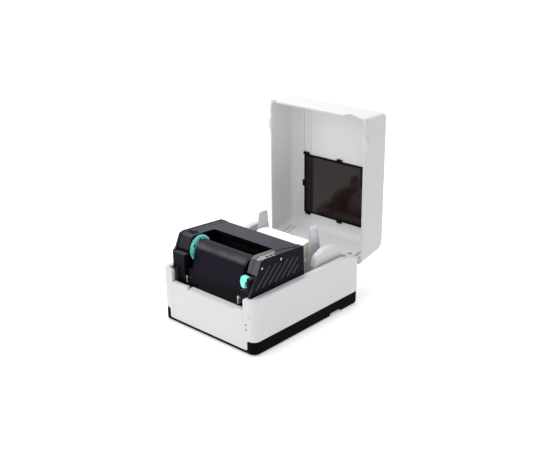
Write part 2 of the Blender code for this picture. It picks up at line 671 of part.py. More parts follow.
def make_carriage_frame():
    """Black box that carries the ribbon; open at the front and over the take-up roll."""
    inner_half = CARRIAGE_HALF - COVER_THICK - GAP
    outline = [(-112.5, 94), (-112.5, 129.0), (-103.0, 149.5), (-96.0, 151.8), (-50.7, 149.3),
               (-3.0, 146.5), (-2.0, 94)]
    frame = plate("carriage_frame", "YZ", outline, (-inner_half, inner_half), BLACK)
    left, right = RIBBON_OPENING
    cut(frame, box("ribbon_opening", (left, right), (-111, -50), (97, 200)))
    cut(frame, box("front_opening", (left, right), (-130, -110), (80, 200)))
    cut(frame, box("supply_room", (left, right), (-51, -5), (97, 143.5)))
    cut(frame, box("film_slot", (-58, 58), (-60, -52), (80, 100)))
    cut(frame, box("left_room", (-88.5, left - 3), (-109, -17), (90, 140)))
    cut(frame, box("right_room", (right + 3, 88.5), (-109, -17), (90, 140)))
    for side in (-1, 1):
        ends = sorted((side * 84.0, side * 90.0))
        lug = [(-15.5, 96), (-15.5, 85), (-12, 81.5), (-4, 81.5), (-2.2, 84), (-2.2, 96)]
        join(frame, plate("pivot_lug", "YZ", lug, ends, holes=[(*CARRIAGE_AXIS, BORE_RADIUS)]))
    for name, axis in (("take_up_journal", TAKE_UP_AXIS), ("supply_journal", SUPPLY_AXIS)):
        cut(frame, cylinder(name, "X", axis, 4.3, (-70, 76.5)))
    return frame


def make_side_cover(name, side):
    """Outer skin of the carriage, with slanted grooves and two screw recesses."""
    span = sorted((side * (CARRIAGE_HALF - COVER_THICK), side * CARRIAGE_HALF))
    nose = [(-129, 93.5), (-129, 97.2), (-133, 97.2)] if side > 0 else [(-121, 93.5), (-121, 124)]
    cover = plate(name, "YZ", [*nose, *SLANT, (-1.3, 93.5)], span, BLACK)
    outer = side * CARRIAGE_HALF
    depth = sorted((outer - side * 1.2, outer + side * 1.0))
    for k in range(len(GROOVE_TOPS)):
        top, foot = groove_ends(k)
        width = 0.9
        groove = [(top[0] - width, top[1]), (top[0] + width, top[1]), (foot[0] + width, foot[1]),
                  (foot[0] - width, foot[1])]
        cut(cover, plate("groove", "YZ", groove, depth))
    for centre in SCREWS:
        cut(cover, cylinder("screw_recess", "X", centre, 2.6, sorted((outer - side * 2.2, outer + side))))
    return cover


SCREWS = ((-102.0, 138.7), (-57.3, 140.8))


GROOVE_FOOT = (-116.4, 106.5)
GROOVE_PITCH = 14.75
GROOVE_TOPS = (137.5, 137.5, 133.5, 136.5, 134.5, 131.5, 118.0)
GROOVE_LEAN = 1.04


def groove_ends(k):
    """Ends of groove K: all start at one height, lean to the rear and end at their own height."""
    foot = (GROOVE_FOOT[0] + GROOVE_PITCH * k, GROOVE_FOOT[1])
    rise = GROOVE_TOPS[k] - foot[1]
    return (foot[0] + GROOVE_LEAN * rise, GROOVE_TOPS[k]), foot


def make_carriage_feet():
    """Front blocks that stand on the print mechanism when the carriage is shut."""
    left = box("carriage_foot_left", (-91, -64.3), (-123.5, -112.9), (98, 124), BLACK)
    join(left, box("foot_left_lower", (-82, -64.3), (-123.5, -112.9), (69.5, 99)))
    right = box("carriage_foot_right", (64.5, 82.5), (-122, -112.9), (75.5, 100.2), BLACK)
    boss = box("foot_right_boss", (82, 91), (-126, -112.9), (97.5, 127))
    bevel(boss, 3.0, 2)
    join(right, boss)
    cut(right, cylinder("lever_bore", "X", LEVER_AXIS, 2.3, (80, 87.5)))
    return left, right


def make_lever():
    """Turquoise release lever, hinged at its foot."""
    y, z = LEVER_AXIS
    outline = [(y - 5, z - 4.5), (y + 3.5, z - 4.5), (y + 4.8, z + 14), *arc((y + 0.5, z + 15), 4.3, 10, 170, 4),
               (y - 6, z + 10)]
    lever = plate("release_lever", "YZ", outline, (65.5, 80.5), TURQUOISE)
    join(lever, cylinder("lever_journal", "X", LEVER_AXIS, 2.0, (79.5, 87.0)))
    return lever


FILM_FOOT = (-121.0, 71.0)


def film_tangent():
    """Point where the film leaves the front of the take-up roll."""
    centre = Vector(TAKE_UP_AXIS)
    reach = Vector(FILM_FOOT) - centre
    swing = math.acos(TAKE_UP_RADIUS / reach.length)
    angle = math.atan2(reach.y, reach.x) - swing
    return centre + TAKE_UP_RADIUS * Vector((math.cos(angle), math.sin(angle)))


def make_film():
    """Taut film from the print line up to the take-up roll, 0.35 thick and clear of both."""
    top = film_tangent()
    foot = Vector(FILM_FOOT)
    run = (top - foot).normalized()
    outward = Vector((-run.y, run.x))
    near, far = outward * 0.35, outward * 0.7
    outline = [tuple(foot + near), tuple(foot + far), tuple(top + far), tuple(top + near)]
    return plate("ribbon_film", "YZ", outline, (-57, 57), RIBBON)


def make_print_head():
    head = box("print_head", (-56.5, 56.5), (-119.5, -99), (70.6, 74.0), GEAR_WHITE)
    sink = box("head_heat_sink", (-52, 52), (-112, -96), (74.3, 93.4), ALUMINIUM)
    for k in range(4):
        y = -110.2 + 4.0 * k
        cut(sink, box("sink_groove", (-60, 60), (y, y + 1.8), (80, 95)))
    bar = cylinder("ribbon_guide_bar", "X", (-114.6, 82.0), 2.0, (-64.0, 64.2), STEEL, 12)
    return head, sink, bar


def make_take_up():
    """Toothed wheel, spindle and wound ribbon that turn together."""
    y, z = TAKE_UP_AXIS
    teeth = 36
    module = 2 * 23.0 / (teeth + 1.6)
    holes = [(y + 15 * math.cos(a), z + 15 * math.sin(a), 3.0)
             for a in (math.radians(30 + 60 * k) for k in range(6))]
    outline = gear_outline(TAKE_UP_AXIS, teeth, module, 0)
    gear = plate("take_up_gear", "YZ", outline, (-65.2, -61.6), TURQUOISE, holes)
    join(gear, cylinder("gear_journal", "X", TAKE_UP_AXIS, 4.0, (-68.8, -63)))
    profile = [(0, 74.6), (4, 74.6), (4, 60), (CORE_RADIUS, 60), (CORE_RADIUS, -61.2), (0, -61.2)]
    core = turned("take_up_core", "X", TAKE_UP_AXIS, profile, CARD, 20)
    ends = (-RIBBON_HALF, RIBBON_HALF)
    ribbon = ring("take_up_ribbon", "X", TAKE_UP_AXIS, CORE_RADIUS + GAP, TAKE_UP_RADIUS, ends, RIBBON, 32)
    spin = axis_empty("take_up_axis", (0, *TAKE_UP_AXIS))
    ride(spin, gear, core, ribbon)
    return spin


def make_supply():
    profile = [(0, 74.6), (4, 74.6), (4, 62), (CORE_RADIUS, 62), (CORE_RADIUS, -62), (4, -62),
               (4, -68.8), (0, -68.8)]
    core = turned("supply_core", "X", SUPPLY_AXIS, profile, CARD, 20)
    ends = (-RIBBON_HALF, RIBBON_HALF)
    ribbon = ring("supply_ribbon", "X", SUPPLY_AXIS, CORE_RADIUS + GAP, SUPPLY_RADIUS, ends, RIBBON, 28)
    spin = axis_empty("supply_axis", (0, *SUPPLY_AXIS))
    ride(spin, core, ribbon)
    return spin


def make_carriage():
    pivot = axis_empty("carriage_axis", (0, *CARRIAGE_AXIS))
    covers = [make_side_cover("carriage_cover_left", -1), make_side_cover("carriage_cover_right", 1)]
    ride(pivot, make_carriage_frame(), *covers, *make_carriage_feet(), make_film(), *make_print_head())
    lever_pivot = axis_empty("lever_axis", (0, *LEVER_AXIS))
    ride(lever_pivot, make_lever())
    ride(pivot, make_take_up(), make_supply(), lever_pivot)
    for name, side in (("carriage_pin_left", -1), ("carriage_pin_right", 1)):
        ends = sorted((side * 83.5, side * 104.0))
        cylinder(name, "X", CARRIAGE_AXIS, SHAFT_RADIUS, ends, STEEL)


clear_scene()
PARTS = new_collection("label_printer")
CUTTERS = new_collection("cutters")

make_tray()
make_feet()
make_body_shell()
make_front_panel()
make_rear_connectors()
make_switch()
make_front_controls()
make_board()
make_brackets()
make_platen()
make_drive()
make_media_guide()
make_tear_bar()
make_bay()
make_arm("left", -1)
make_arm("right", 1)
make_pinion()
make_roll()
make_lid()
make_carriage()
bpy.context.view_layer.update()
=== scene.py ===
"""Looks of the desktop label printer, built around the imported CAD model.

Sizes in this file are millimetres; solid() turns them into Blender's metres. +X is the printer's
right, -Y its front and +Z up. Pieces of the cover are drawn closed and then turned open.
"""

import json
import math

import bmesh
import bpy
from mathutils import Matrix, Vector


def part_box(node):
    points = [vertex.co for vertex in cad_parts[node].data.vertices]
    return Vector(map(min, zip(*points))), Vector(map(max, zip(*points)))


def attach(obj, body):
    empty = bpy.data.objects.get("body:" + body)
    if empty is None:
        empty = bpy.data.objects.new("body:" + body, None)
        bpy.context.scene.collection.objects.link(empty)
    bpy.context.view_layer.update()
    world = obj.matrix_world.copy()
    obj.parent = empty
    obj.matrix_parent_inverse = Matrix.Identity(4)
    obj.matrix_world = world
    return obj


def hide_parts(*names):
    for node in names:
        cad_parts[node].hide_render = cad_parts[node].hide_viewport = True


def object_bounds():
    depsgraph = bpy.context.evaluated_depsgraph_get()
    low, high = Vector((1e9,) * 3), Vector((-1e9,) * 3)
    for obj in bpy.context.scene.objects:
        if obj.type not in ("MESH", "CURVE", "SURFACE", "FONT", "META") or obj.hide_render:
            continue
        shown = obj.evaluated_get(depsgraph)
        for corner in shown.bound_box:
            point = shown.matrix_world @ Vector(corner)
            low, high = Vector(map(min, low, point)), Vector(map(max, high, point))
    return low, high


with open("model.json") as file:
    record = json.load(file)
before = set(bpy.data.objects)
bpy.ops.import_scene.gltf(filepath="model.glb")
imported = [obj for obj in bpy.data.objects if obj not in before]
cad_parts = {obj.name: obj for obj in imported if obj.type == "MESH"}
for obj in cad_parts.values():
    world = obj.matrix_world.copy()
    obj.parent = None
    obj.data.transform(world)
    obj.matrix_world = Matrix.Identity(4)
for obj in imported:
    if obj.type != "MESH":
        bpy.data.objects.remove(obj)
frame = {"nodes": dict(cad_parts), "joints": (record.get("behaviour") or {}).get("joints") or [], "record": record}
cad_low, cad_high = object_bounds()

MM = 0.001
GAP = 0.3
SIDES = {"left": -1, "right": 1}
ACROSS = (-150, 150)  # spans that go right through the printer
THROUGH = (-120, 120)
FRONT = (-150, -120)  # and through its front wall only, along Y
JOINTS = {joint["name"]: joint for joint in frame["joints"]}
SLOTS = {part["node"]: part["material_slot"] for part in frame["record"]["subparts"]}


def node_box(node):
    low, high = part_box(node)
    return low / MM, high / MM


def node_radius(node):
    """Radius of a node that is round about X."""
    low, high = node_box(node)
    return (high.y - low.y) / 2


def joint_axis(name):
    """Place (y, z) of a joint whose axis runs along X."""
    position = JOINTS[name]["pos_m"]
    return position[1] / MM, position[2] / MM


def add(name, data):
    """New object in the scene."""
    made = bpy.data.objects.new(name, data)
    bpy.context.scene.collection.objects.link(made)
    return made


# ---------------- camera, floor and light
CAMERA_PLACE = (963.6, -1019.6, 696.6)
CAMERA_TURN = (90 - 20.99, -0.549, 42.49)
CAMERA_LENS = 57.6


def make_camera():
    tilt, roll, yaw = [math.radians(angle) for angle in CAMERA_TURN]
    camera = bpy.data.cameras.new("camera")
    camera.lens = CAMERA_LENS
    camera.sensor_width = 36.0
    camera.clip_start = 0.01
    camera.dof.use_dof = False
    viewer = add("camera", camera)
    turn = Matrix.Rotation(yaw, 4, "Z") @ Matrix.Rotation(tilt, 4, "X") @ Matrix.Rotation(roll, 4, "Z")
    viewer.matrix_world = Matrix.Translation(Vector(CAMERA_PLACE) * MM) @ turn
    bpy.context.scene.camera = viewer


def put(node, **values):
    """Sets inputs of a shader node, with _ for each blank in their names."""
    for name, value in values.items():
        node.inputs[name.replace("_", " ")].default_value = value


def make_floor():
    shape = bmesh.new()
    bmesh.ops.create_grid(shape, x_segments=1, y_segments=1, size=200.0)
    bmesh.ops.translate(shape, verts=shape.verts, vec=(0, 0, cad_low.z))
    mesh = bpy.data.meshes.new("floor")
    shape.to_mesh(mesh)
    shape.free()
    paint = bpy.data.materials.new("floor")
    paint.use_nodes = True
    put(paint.node_tree.nodes["Principled BSDF"], Base_Color=(0.97, 0.97, 0.97, 1), Roughness=0.9,
        Specular_IOR_Level=0.1, Emission_Color=(1, 1, 1, 1), Emission_Strength=0.32)
    mesh.materials.append(paint)
    add("floor", mesh)


def make_light(name, place, aim, size, power):
    lamp = bpy.data.lights.new(name, "AREA")
    lamp.shape = "RECTANGLE"
    lamp.size, lamp.size_y = size
    lamp.energy = power
    holder = add(name, lamp)
    direction = Vector(aim) - Vector(place)
    holder.rotation_euler = direction.to_track_quat("-Z", "Y").to_euler()
    holder.location = place


def make_world():
    """White studio dome that is brightest towards the front left, where its windows are."""
    world = bpy.data.worlds.new("studio")
    world.use_nodes = True
    tree = world.node_tree
    background = tree.nodes["Background"]
    put(background, Color=(1, 1, 1, 1))
    direction = tree.nodes.new("ShaderNodeTexCoord")
    facing = tree.nodes.new("ShaderNodeVectorMath")
    facing.operation = "DOT_PRODUCT"
    facing.inputs[1].default_value = Vector((-0.61, -0.61, 0.5))
    tree.links.new(direction.outputs["Generated"], facing.inputs[0])
    strength = tree.nodes.new("ShaderNodeMapRange")
    put(strength, From_Min=-0.3, From_Max=0.9, To_Min=0.62, To_Max=1.0)
    tree.links.new(facing.outputs["Value"], strength.inputs["Value"])
    tree.links.new(strength.outputs["Result"], background.inputs["Strength"])
    bpy.context.scene.world = world


def make_studio():
    make_floor()
    middle = (0.0, 0.03, 0.12)
    make_light("key", (-1.25, -1.25, 1.15), middle, (0.6, 0.6), 3.5)
    make_light("top", (-0.10, 0.10, 0.92), middle, (0.5, 0.5), 3.8)
    make_world()
    bpy.context.scene.view_settings.view_transform = "Standard"


# ---------------- materials
class Look:
    """A material built from its shader and a few procedural nodes in object coordinates (metres)."""

    def __init__(self, name, colour, roughness, metallic=0.0):
        self.material = bpy.data.materials.new(name)
        self.material.use_nodes = True
        self.tree = self.material.node_tree
        self.shader = self.tree.nodes["Principled BSDF"]
        self.name = name
        self.colour = colour
        self.roughness = roughness
        put(self.shader, Base_Color=(*colour, 1), Roughness=roughness, Metallic=metallic)
        self.texture = self.node("ShaderNodeTexCoord")
        self.place = self.texture.outputs["Object"]
        self.material.diffuse_color = (*colour, 1)

    def node(self, kind, **inputs):
        made = self.tree.nodes.new(kind)
        for name, value in inputs.items():
            self.set(made.inputs[name.replace("_", " ")], value)
        return made

    def set(self, socket, value):
        if isinstance(value, bpy.types.NodeSocket):
            self.tree.links.new(value, socket)
        else:
            socket.default_value = value

    def stretched(self, scale):
        return self.node("ShaderNodeMapping", Vector=self.place, Scale=scale).outputs["Vector"]

    def noise(self, scale, detail=3.0, place=None):
        made = self.node("ShaderNodeTexNoise", Vector=place or self.place, Scale=scale, Detail=detail)
        return made.outputs["Fac"]

    def between(self, factor, low, high, start=0.3, end=0.7):
        made = self.node("ShaderNodeMapRange", Value=factor, From_Min=start, From_Max=end, To_Min=low,
                         To_Max=high)
        return made.outputs["Result"]

    def mottled(self, factor, other):
        """Colour that goes from this look's own to OTHER with FACTOR."""
        mix = self.node("ShaderNodeMix")
        mix.data_type = "RGBA"
        self.set(mix.inputs["Factor"], factor)
        before = self.shader.inputs["Base Color"]
        if before.is_linked:
            self.set(mix.inputs[6], before.links[0].from_socket)
        else:
            mix.inputs[6].default_value = (*self.colour, 1)
        mix.inputs[7].default_value = (*other, 1)
        self.tree.links.new(mix.outputs[2], before)
        return self

    def calculated(self, kind, operation, *values, output="Value"):
        """Result of OPERATION on VALUES, from a node of the KIND Math or VectorMath."""
        made = self.tree.nodes.new(f"ShaderNode{kind}")
        made.operation = operation
        for socket, value in zip(made.inputs, values):
            self.set(socket, value)
        return made.outputs[output]

    def product(self, first, second):
        return self.calculated("Math", "MULTIPLY", first, second)

    def part(self, axis, source="Object"):
        """One AXIS of the place ("Object") or of the direction a face looks in ("Normal")."""
        return self.node("ShaderNodeSeparateXYZ", Vector=self.texture.outputs[source]).outputs[axis]

    def edges(self):
        """1 on edges and 0 on flat faces, from the normal of a slightly rounded surface."""
        soft = self.node("ShaderNodeBevel", Radius=0.9 * MM)
        soft.samples = 4
        flat = self.node("ShaderNodeNewGeometry")
        normals = (soft.outputs["Normal"], flat.outputs["True Normal"])
        return self.between(self.calculated("VectorMath", "DOT_PRODUCT", *normals), 1.0, 0.0, 0.80, 0.97)

    def rough(self, factor, spread):
        value = self.between(factor, self.roughness - spread, self.roughness + spread)
        self.set(self.shader.inputs["Roughness"], value)
        return self

    def bumped(self, height, depth_mm, strength=1.0):
        bump = self.node("ShaderNodeBump", Height=height, Strength=strength, Distance=depth_mm * MM)
        before = self.shader.inputs["Normal"]
        if before.is_linked:
            self.set(bump.inputs["Normal"], before.links[0].from_socket)
        self.tree.links.new(bump.outputs["Normal"], before)
        return self


def moulded(name, colour, roughness, worn_and_sheen, grain=2600, depth=0.015, gloss=0.5, wear=0.0, painted_top_sheen=0.0):
    """Moulded plastic: spark-eroded grain, slow changes of tone and gloss, scuffs and rubbed edges, and a painted
    sheen that lightens faces which look up.
    """
    look = Look(name, colour, roughness)
    put(look.shader, Specular_IOR_Level=gloss)
    look.mottled(look.between(look.noise(9, 4), 0.0, 0.4, 0.35, 0.8), [c * 0.96 for c in colour])
    # Painted sheen: faces that look up are mixed towards the lighter colour.
    if painted_top_sheen:
        look.mottled(look.between(look.part("Z", "Normal"), 0.0, painted_top_sheen, 0.15, 0.75), worn_and_sheen)
    if wear:
        patches = look.between(look.noise(180, 4), 0.0, wear, 0.42, 0.62)
        look.mottled(look.product(look.edges(), patches), worn_and_sheen)
    look.rough(look.noise(40, 4), 0.04)
    look.bumped(look.noise(grain, 2), depth)
    scuffs = look.noise(70, 5, look.stretched((1.0, 9.0, 1.6)))
    look.bumped(look.between(scuffs, 0.0, 1.0, 0.68, 0.76), 0.003, 0.3)
    return look


def metal(name, colour, roughness, lines):
    """Metal with fine drawn lines; LINES stretches them along the axes."""
    look = Look(name, colour, roughness, 1.0)
    drawn = look.noise(1500, 4, look.stretched(lines))
    look.rough(drawn, 0.10)
    look.bumped(drawn, 0.01)
    look.mottled(look.between(look.noise(60, 4), 0.0, 0.5, 0.45, 0.7), [c * 0.72 for c in colour])
    return look


ROLL_Y, ROLL_Z = joint_axis("roll_spin")


def paper_look():
    """White label stock; its cut ends show the wound layers as fine rings."""
    look = Look("label_paper", (0.94, 0.94, 0.94), 0.62)
    flat = look.node("ShaderNodeCombineXYZ", Y=look.part("Y"), Z=look.part("Z")).outputs["Vector"]
    radius = look.calculated("VectorMath", "DISTANCE", flat, (0, ROLL_Y * MM, ROLL_Z * MM))
    layers = look.node("ShaderNodeTexNoise", Scale=2600, Detail=2)
    layers.noise_dimensions = "1D"
    look.set(layers.inputs["W"], radius)
    ends = look.calculated("Math", "ABSOLUTE", look.part("X", "Normal"))
    rings = look.between(layers.outputs["Fac"], 0.3, 1.0)
    look.mottled(look.product(ends, rings), (0.80, 0.77, 0.66))
    look.bumped(look.noise(1400, 4), 0.012)
    put(look.shader, Subsurface_Weight=0.05)
    return look


# Painted shade: the film is painted darker below these heights.
FILM_SHADE_BELOW = (86.0, 99.0)  # the heights where it starts to fade and where it ends


def film_look():
    """Waxed ribbon: almost black, with a painted sheen where it bends over its roll, and painted shade that makes
    it darker low down.
    """
    look = Look("ribbon_film", (0.0065, 0.0055, 0.0115), 0.28)
    put(look.shader, Specular_IOR_Level=0.06)
    # Painted sheen: faces that look part way up, on the bend over the roll, are mixed lighter.
    upward = look.part("Z", "Normal")
    start, end = look.between(upward, 0.0, 1.0, 0.30, 0.62), look.between(upward, 1.0, 0.25, 0.70, 0.98)
    look.mottled(look.product(start, end), (0.085, 0.083, 0.090))
    look.mottled(look.between(look.noise(30, 2), 0.0, 0.4), (0.012, 0.010, 0.020))
    # Painted shade: the lower part of the film is mixed towards near black.
    low, high = FILM_SHADE_BELOW
    look.mottled(look.between(look.part("Z"), 1.0, 0.0, low * MM, high * MM), (0.003, 0.003, 0.004))
    look.rough(look.noise(22, 3, look.stretched((4.0, 1.0, 0.7))), 0.05)
    look.bumped(look.noise(900, 3), 0.006)
    return look


def board_look():
    """Lacquered board with copper runs under the lacquer."""
    look = Look("circuit_board", (0.012, 0.12, 0.05), 0.35)
    bricks = look.node("ShaderNodeTexBrick", Vector=look.place, Scale=160.0)
    look.mottled(look.between(bricks.outputs["Fac"], 0.0, 0.5, 0.0, 1.0), (0.03, 0.22, 0.10))
    look.bumped(look.noise(700, 3), 0.03)
    return look


COVER_MIDDLE = (0.0, 0.150, 0.210)  # of the open cover's hollow, in metres


def cover_look():
    """Cover plastic; faces that look into the hollow of the cover are painted a lighter white, a painted fill
    light that lifts the shade inside the hollow.
    """
    look = moulded("cover_plastic", (0.585, 0.585, 0.60), 0.40, (0.66, 0.66, 0.67), gloss=0.3)
    # Painted light: faces turned towards the middle of the hollow get the lighter white.
    inward = look.calculated("VectorMath", "SUBTRACT", COVER_MIDDLE, look.place, output="Vector")
    facing = look.calculated("VectorMath", "DOT_PRODUCT", inward, look.texture.outputs["Normal"])
    look.mottled(look.between(facing, 0.0, 1.0, -0.01, 0.01), (0.735, 0.735, 0.75))
    return look


def card_look():
    look = Look("core_card", (0.40, 0.30, 0.19), 0.85)
    look.mottled(look.between(look.noise(300, 5), 0.0, 0.7), (0.29, 0.21, 0.13))
    look.bumped(look.noise(800, 5), 0.08)
    return look


def window_look():
    look = Look("smoked_window", (0.014, 0.0045, 0.0035), 0.08)
    put(look.shader, Transmission_Weight=0.45, IOR=1.45, Specular_IOR_Level=0.12)
    look.rough(look.noise(30, 4), 0.03)
    look.bumped(look.noise(18, 2), 0.06, 0.4)
    return look


def lens_look():
    look = Look("lens", (0.10, 0.105, 0.115), 0.22)
    look.rough(look.noise(400, 3), 0.05)
    look.mottled(look.between(look.noise(500, 2), 0.0, 0.4), (0.06, 0.065, 0.075))
    return look


def make_looks():
    """Every look by its name, which is the material slot of the CAD node it dresses, or its own."""
    coal = (0.0035, 0.0032, 0.0068)
    soot = (0.003, 0.003, 0.004)
    dark = (0.02, 0.02, 0.02)
    looks = (
        moulded("white_plastic", (0.63, 0.63, 0.645), 0.42, (0.70, 0.70, 0.71), gloss=0.3),
        cover_look(),
        # The black plastic gets a painted sheen on faces that look up, and lighter rubbed edges.
        moulded("black_plastic", coal, 0.34, (0.075, 0.071, 0.090), 1500, 0.02, 0.05, 0.5, 0.75),
        moulded("tray_plastic", soot, 0.55, dark, 1500, 0.04, 0.02, 0.4),
        moulded("turquoise_plastic", (0.25, 0.93, 0.82), 0.33, (0.55, 0.96, 0.90)),
        moulded("rubber", dark, 0.85, (0.05, 0.05, 0.05), 900, 0.08, 0.2),
        moulded("gear_nylon", (0.72, 0.70, 0.64), 0.45, (0.82, 0.81, 0.77)),
        metal("steel", (0.62, 0.61, 0.58), 0.28, (0.15, 1.0, 1.0)),
        metal("aluminium", (0.74, 0.74, 0.75), 0.36, (0.1, 1.0, 1.0)),
        metal("bush_bronze", (0.60, 0.42, 0.19), 0.40, (1.0, 1.0, 1.0)),
        film_look(),
        # A darker, duller copy of the ribbon film for the supply roll: painted shade inside the carriage.
        moulded("ribbon_film_shaded", soot, 0.55, dark, gloss=0.03),
        paper_look(),
        board_look(),
        # Near black: the window frame's own colour, and painted shade for the roof's slots, seams and recesses.
        moulded("black_and_painted_shade", (0.004, 0.004, 0.005), 0.6, dark, gloss=0.05),
        # The light grey of the groove strips is a painted highlight.
        moulded("groove_glint", (0.15, 0.15, 0.18), 0.45, (0.3, 0.3, 0.3), gloss=0.2),
        # Lighter copies of the black plastic, for painted sheen on the carriage's strips.
        moulded("painted_sheen_strip", (0.29, 0.30, 0.29), 0.35, (0.45, 0.45, 0.45), gloss=0.3),
        moulded("painted_sheen_grey", (0.125, 0.13, 0.125), 0.35, (0.3, 0.3, 0.3), gloss=0.3),
        moulded("painted_sheen_violet", (0.080, 0.076, 0.096), 0.33, (0.2, 0.2, 0.24), gloss=0.2),
        moulded("milky_plastic", (0.66, 0.66, 0.70), 0.34, (0.72, 0.72, 0.76)),
        moulded("lip_plastic", (0.62, 0.62, 0.64), 0.38, (0.6, 0.6, 0.6), gloss=0.3),
        card_look(),
        window_look(),
        lens_look(),
    )
    return {look.name: look for look in looks}


# ---------------- outlines
def polar(centre, radius, angle):
    """Point at RADIUS from CENTRE, in the direction ANGLE (radians)."""
    return (centre[0] + radius * math.cos(angle), centre[1] + radius * math.sin(angle))


def arc(centre, radius, start, end, segments=8):
    """Points from START to END degrees on a circle."""
    steps = [start + (end - start) * k / segments for k in range(segments + 1)]
    return [polar(centre, radius, math.radians(step)) for step in steps]


def rounded_rectangle(u, v, radius, segments=8):
    """Rectangle between the limits U and V with rounded corners."""
    points = []
    for side_u, side_v, start in ((1, 1, 0), (0, 1, 90), (0, 0, 180), (1, 0, 270)):
        centre = (u[side_u] - (2 * side_u - 1) * radius, v[side_v] - (2 * side_v - 1) * radius)
        points += arc(centre, radius, start, start + 90, segments)
    return points


def rounded(corners, radius=1.0, segments=6):
    """Outline through CORNERS (u, v) or (u, v, radius), each rounded off."""
    points = []
    for k, corner in enumerate(corners):
        here = Vector(corner[:2])
        size = corner[2] if len(corner) > 2 else radius
        before = Vector(corners[k - 1][:2]) - here
        after = Vector(corners[(k + 1) % len(corners)][:2]) - here
        half = before.angle(after) / 2
        if size <= 0 or half > 1.5:
            points.append(tuple(here))
            continue
        reach = min(size / math.tan(half), 0.49 * before.length, 0.49 * after.length)
        first = here + before.normalized() * reach
        last = here + after.normalized() * reach
        inward = (before.normalized() + after.normalized()).normalized()
        centre = here + inward * (reach / math.cos(half))
        start = math.atan2(*(first - centre).yx)
        turn = math.atan2(*(last - centre).yx) - start
        turn = (turn + math.pi) % (2 * math.pi) - math.pi
        span = (first - centre).length
        points += [polar(centre, span, start + turn * k / segments) for k in range(segments + 1)]
    return points


# ---------------- solids
PLANES = {"XY": (0, 1, 2), "YZ": (1, 2, 0), "XZ": (0, 2, 1)}


def in_space(plane, u, v, along):
    point = [0.0, 0.0, 0.0]
    for axis, value in zip(PLANES[plane], (u, v, along)):
        point[axis] = value
    return point


def solid(name, shape):
    bmesh.ops.scale(shape, vec=(MM, MM, MM), verts=shape.verts)
    bmesh.ops.recalc_face_normals(shape, faces=shape.faces)
    mesh = bpy.data.meshes.new(name)
    shape.to_mesh(mesh)
    shape.free()
    return add(name, mesh)


def loft(name, rings):
    """Skin over RINGS of points, capped at both ends."""
    shape = bmesh.new()
    loops = [[shape.verts.new(point) for point in ring] for ring in rings]
    for lower, upper in zip(loops, loops[1:]):
        for k in range(len(lower)):
            shape.faces.new((lower[k - 1], lower[k], upper[k], upper[k - 1]))
    shape.faces.new(loops[0])
    shape.faces.new(loops[-1])
    return solid(name, shape)


def slab(name, plane, outline, span):
    rings = [[in_space(plane, u, v, along) for u, v in outline] for along in span]
    return loft(name, rings)


def plate(name, plane, u, v, corner, span, segments=8):
    """Slab whose outline is a rectangle with rounded corners."""
    return slab(name, plane, rounded_rectangle(u, v, corner, segments), span)


def block(name, x, y, z):
    return slab(name, "XY", [(x[0], y[0]), (x[1], y[0]), (x[1], y[1]), (x[0], y[1])], z)


def turned(name, axis, centre, profile, steps=48):
    """Solid of revolution about AXIS through CENTRE; PROFILE is a closed loop of (radius, along)."""
    plane = {"X": "YZ", "Y": "XZ", "Z": "XY"}[axis]
    shape = bmesh.new()
    rings = []
    for k in range(steps):
        angle = 2 * math.pi * k / steps
        ring = [in_space(plane, *polar(centre, radius, angle), along) for radius, along in profile]
        rings.append([shape.verts.new(point) for point in ring])
    for ring, following in zip(rings, rings[1:] + rings[:1]):
        for k in range(len(profile)):
            if profile[k - 1][0] or profile[k][0]:
                shape.faces.new((ring[k - 1], ring[k], following[k], following[k - 1]))
    bmesh.ops.remove_doubles(shape, verts=shape.verts, dist=0.0001)
    return solid(name, shape)


def drum(name, axis, centre, radius, span, rim=0.1, steps=24):
    """Cylinder with rounded rims."""
    corners = [(radius, span[1], rim), (0, span[1], 0), (0, span[0], 0), (radius, span[0], rim)]
    return turned(name, axis, centre, rounded(corners, rim, 4), steps)


def final_mesh(piece):
    """New mesh of PIECE with its modifiers, or its bevelled curve, worked out."""
    bpy.context.view_layer.update()
    return bpy.data.meshes.new_from_object(piece.evaluated_get(bpy.context.evaluated_depsgraph_get()))


def tube(name, points, radius, sides):
    """Round wire through POINTS."""
    curve = bpy.data.curves.new(name, "CURVE")
    curve.dimensions = "3D"
    curve.bevel_depth = radius * MM
    curve.bevel_resolution = sides
    curve.use_fill_caps = True
    spline = curve.splines.new("POLY")
    spline.points.add(len(points) - 1)
    for point, place in zip(spline.points, points):
        point.co = (*(Vector(place) * MM), 1)
    wire = add(name, curve)
    mesh = final_mesh(wire)
    bpy.data.objects.remove(wire)
    shape = bmesh.new()
    shape.from_mesh(mesh)
    bmesh.ops.remove_doubles(shape, verts=shape.verts, dist=0.000001)
    bmesh.ops.scale(shape, vec=(1 / MM, 1 / MM, 1 / MM), verts=shape.verts)
    return solid(name, shape)


def bake(piece):
    """Turns the modifiers of PIECE into its mesh."""
    mesh = final_mesh(piece)
    piece.modifiers.clear()
    piece.data = mesh


def combine(target, tools, operation):
    for tool in tools:
        modifier = target.modifiers.new("combine", "BOOLEAN")
        modifier.operation = operation
        modifier.solver = "EXACT"
        modifier.object = tool
        bake(target)
        bpy.data.objects.remove(tool)
    return target


def cut(target, *tools):
    return combine(target, tools, "DIFFERENCE")


def join(target, *tools):
    return combine(target, tools, "UNION")


def common(target, *tools):
    return combine(target, tools, "INTERSECT")


ROUNDED_FROM = 38  # degrees between two faces
SHARP_FROM = 44


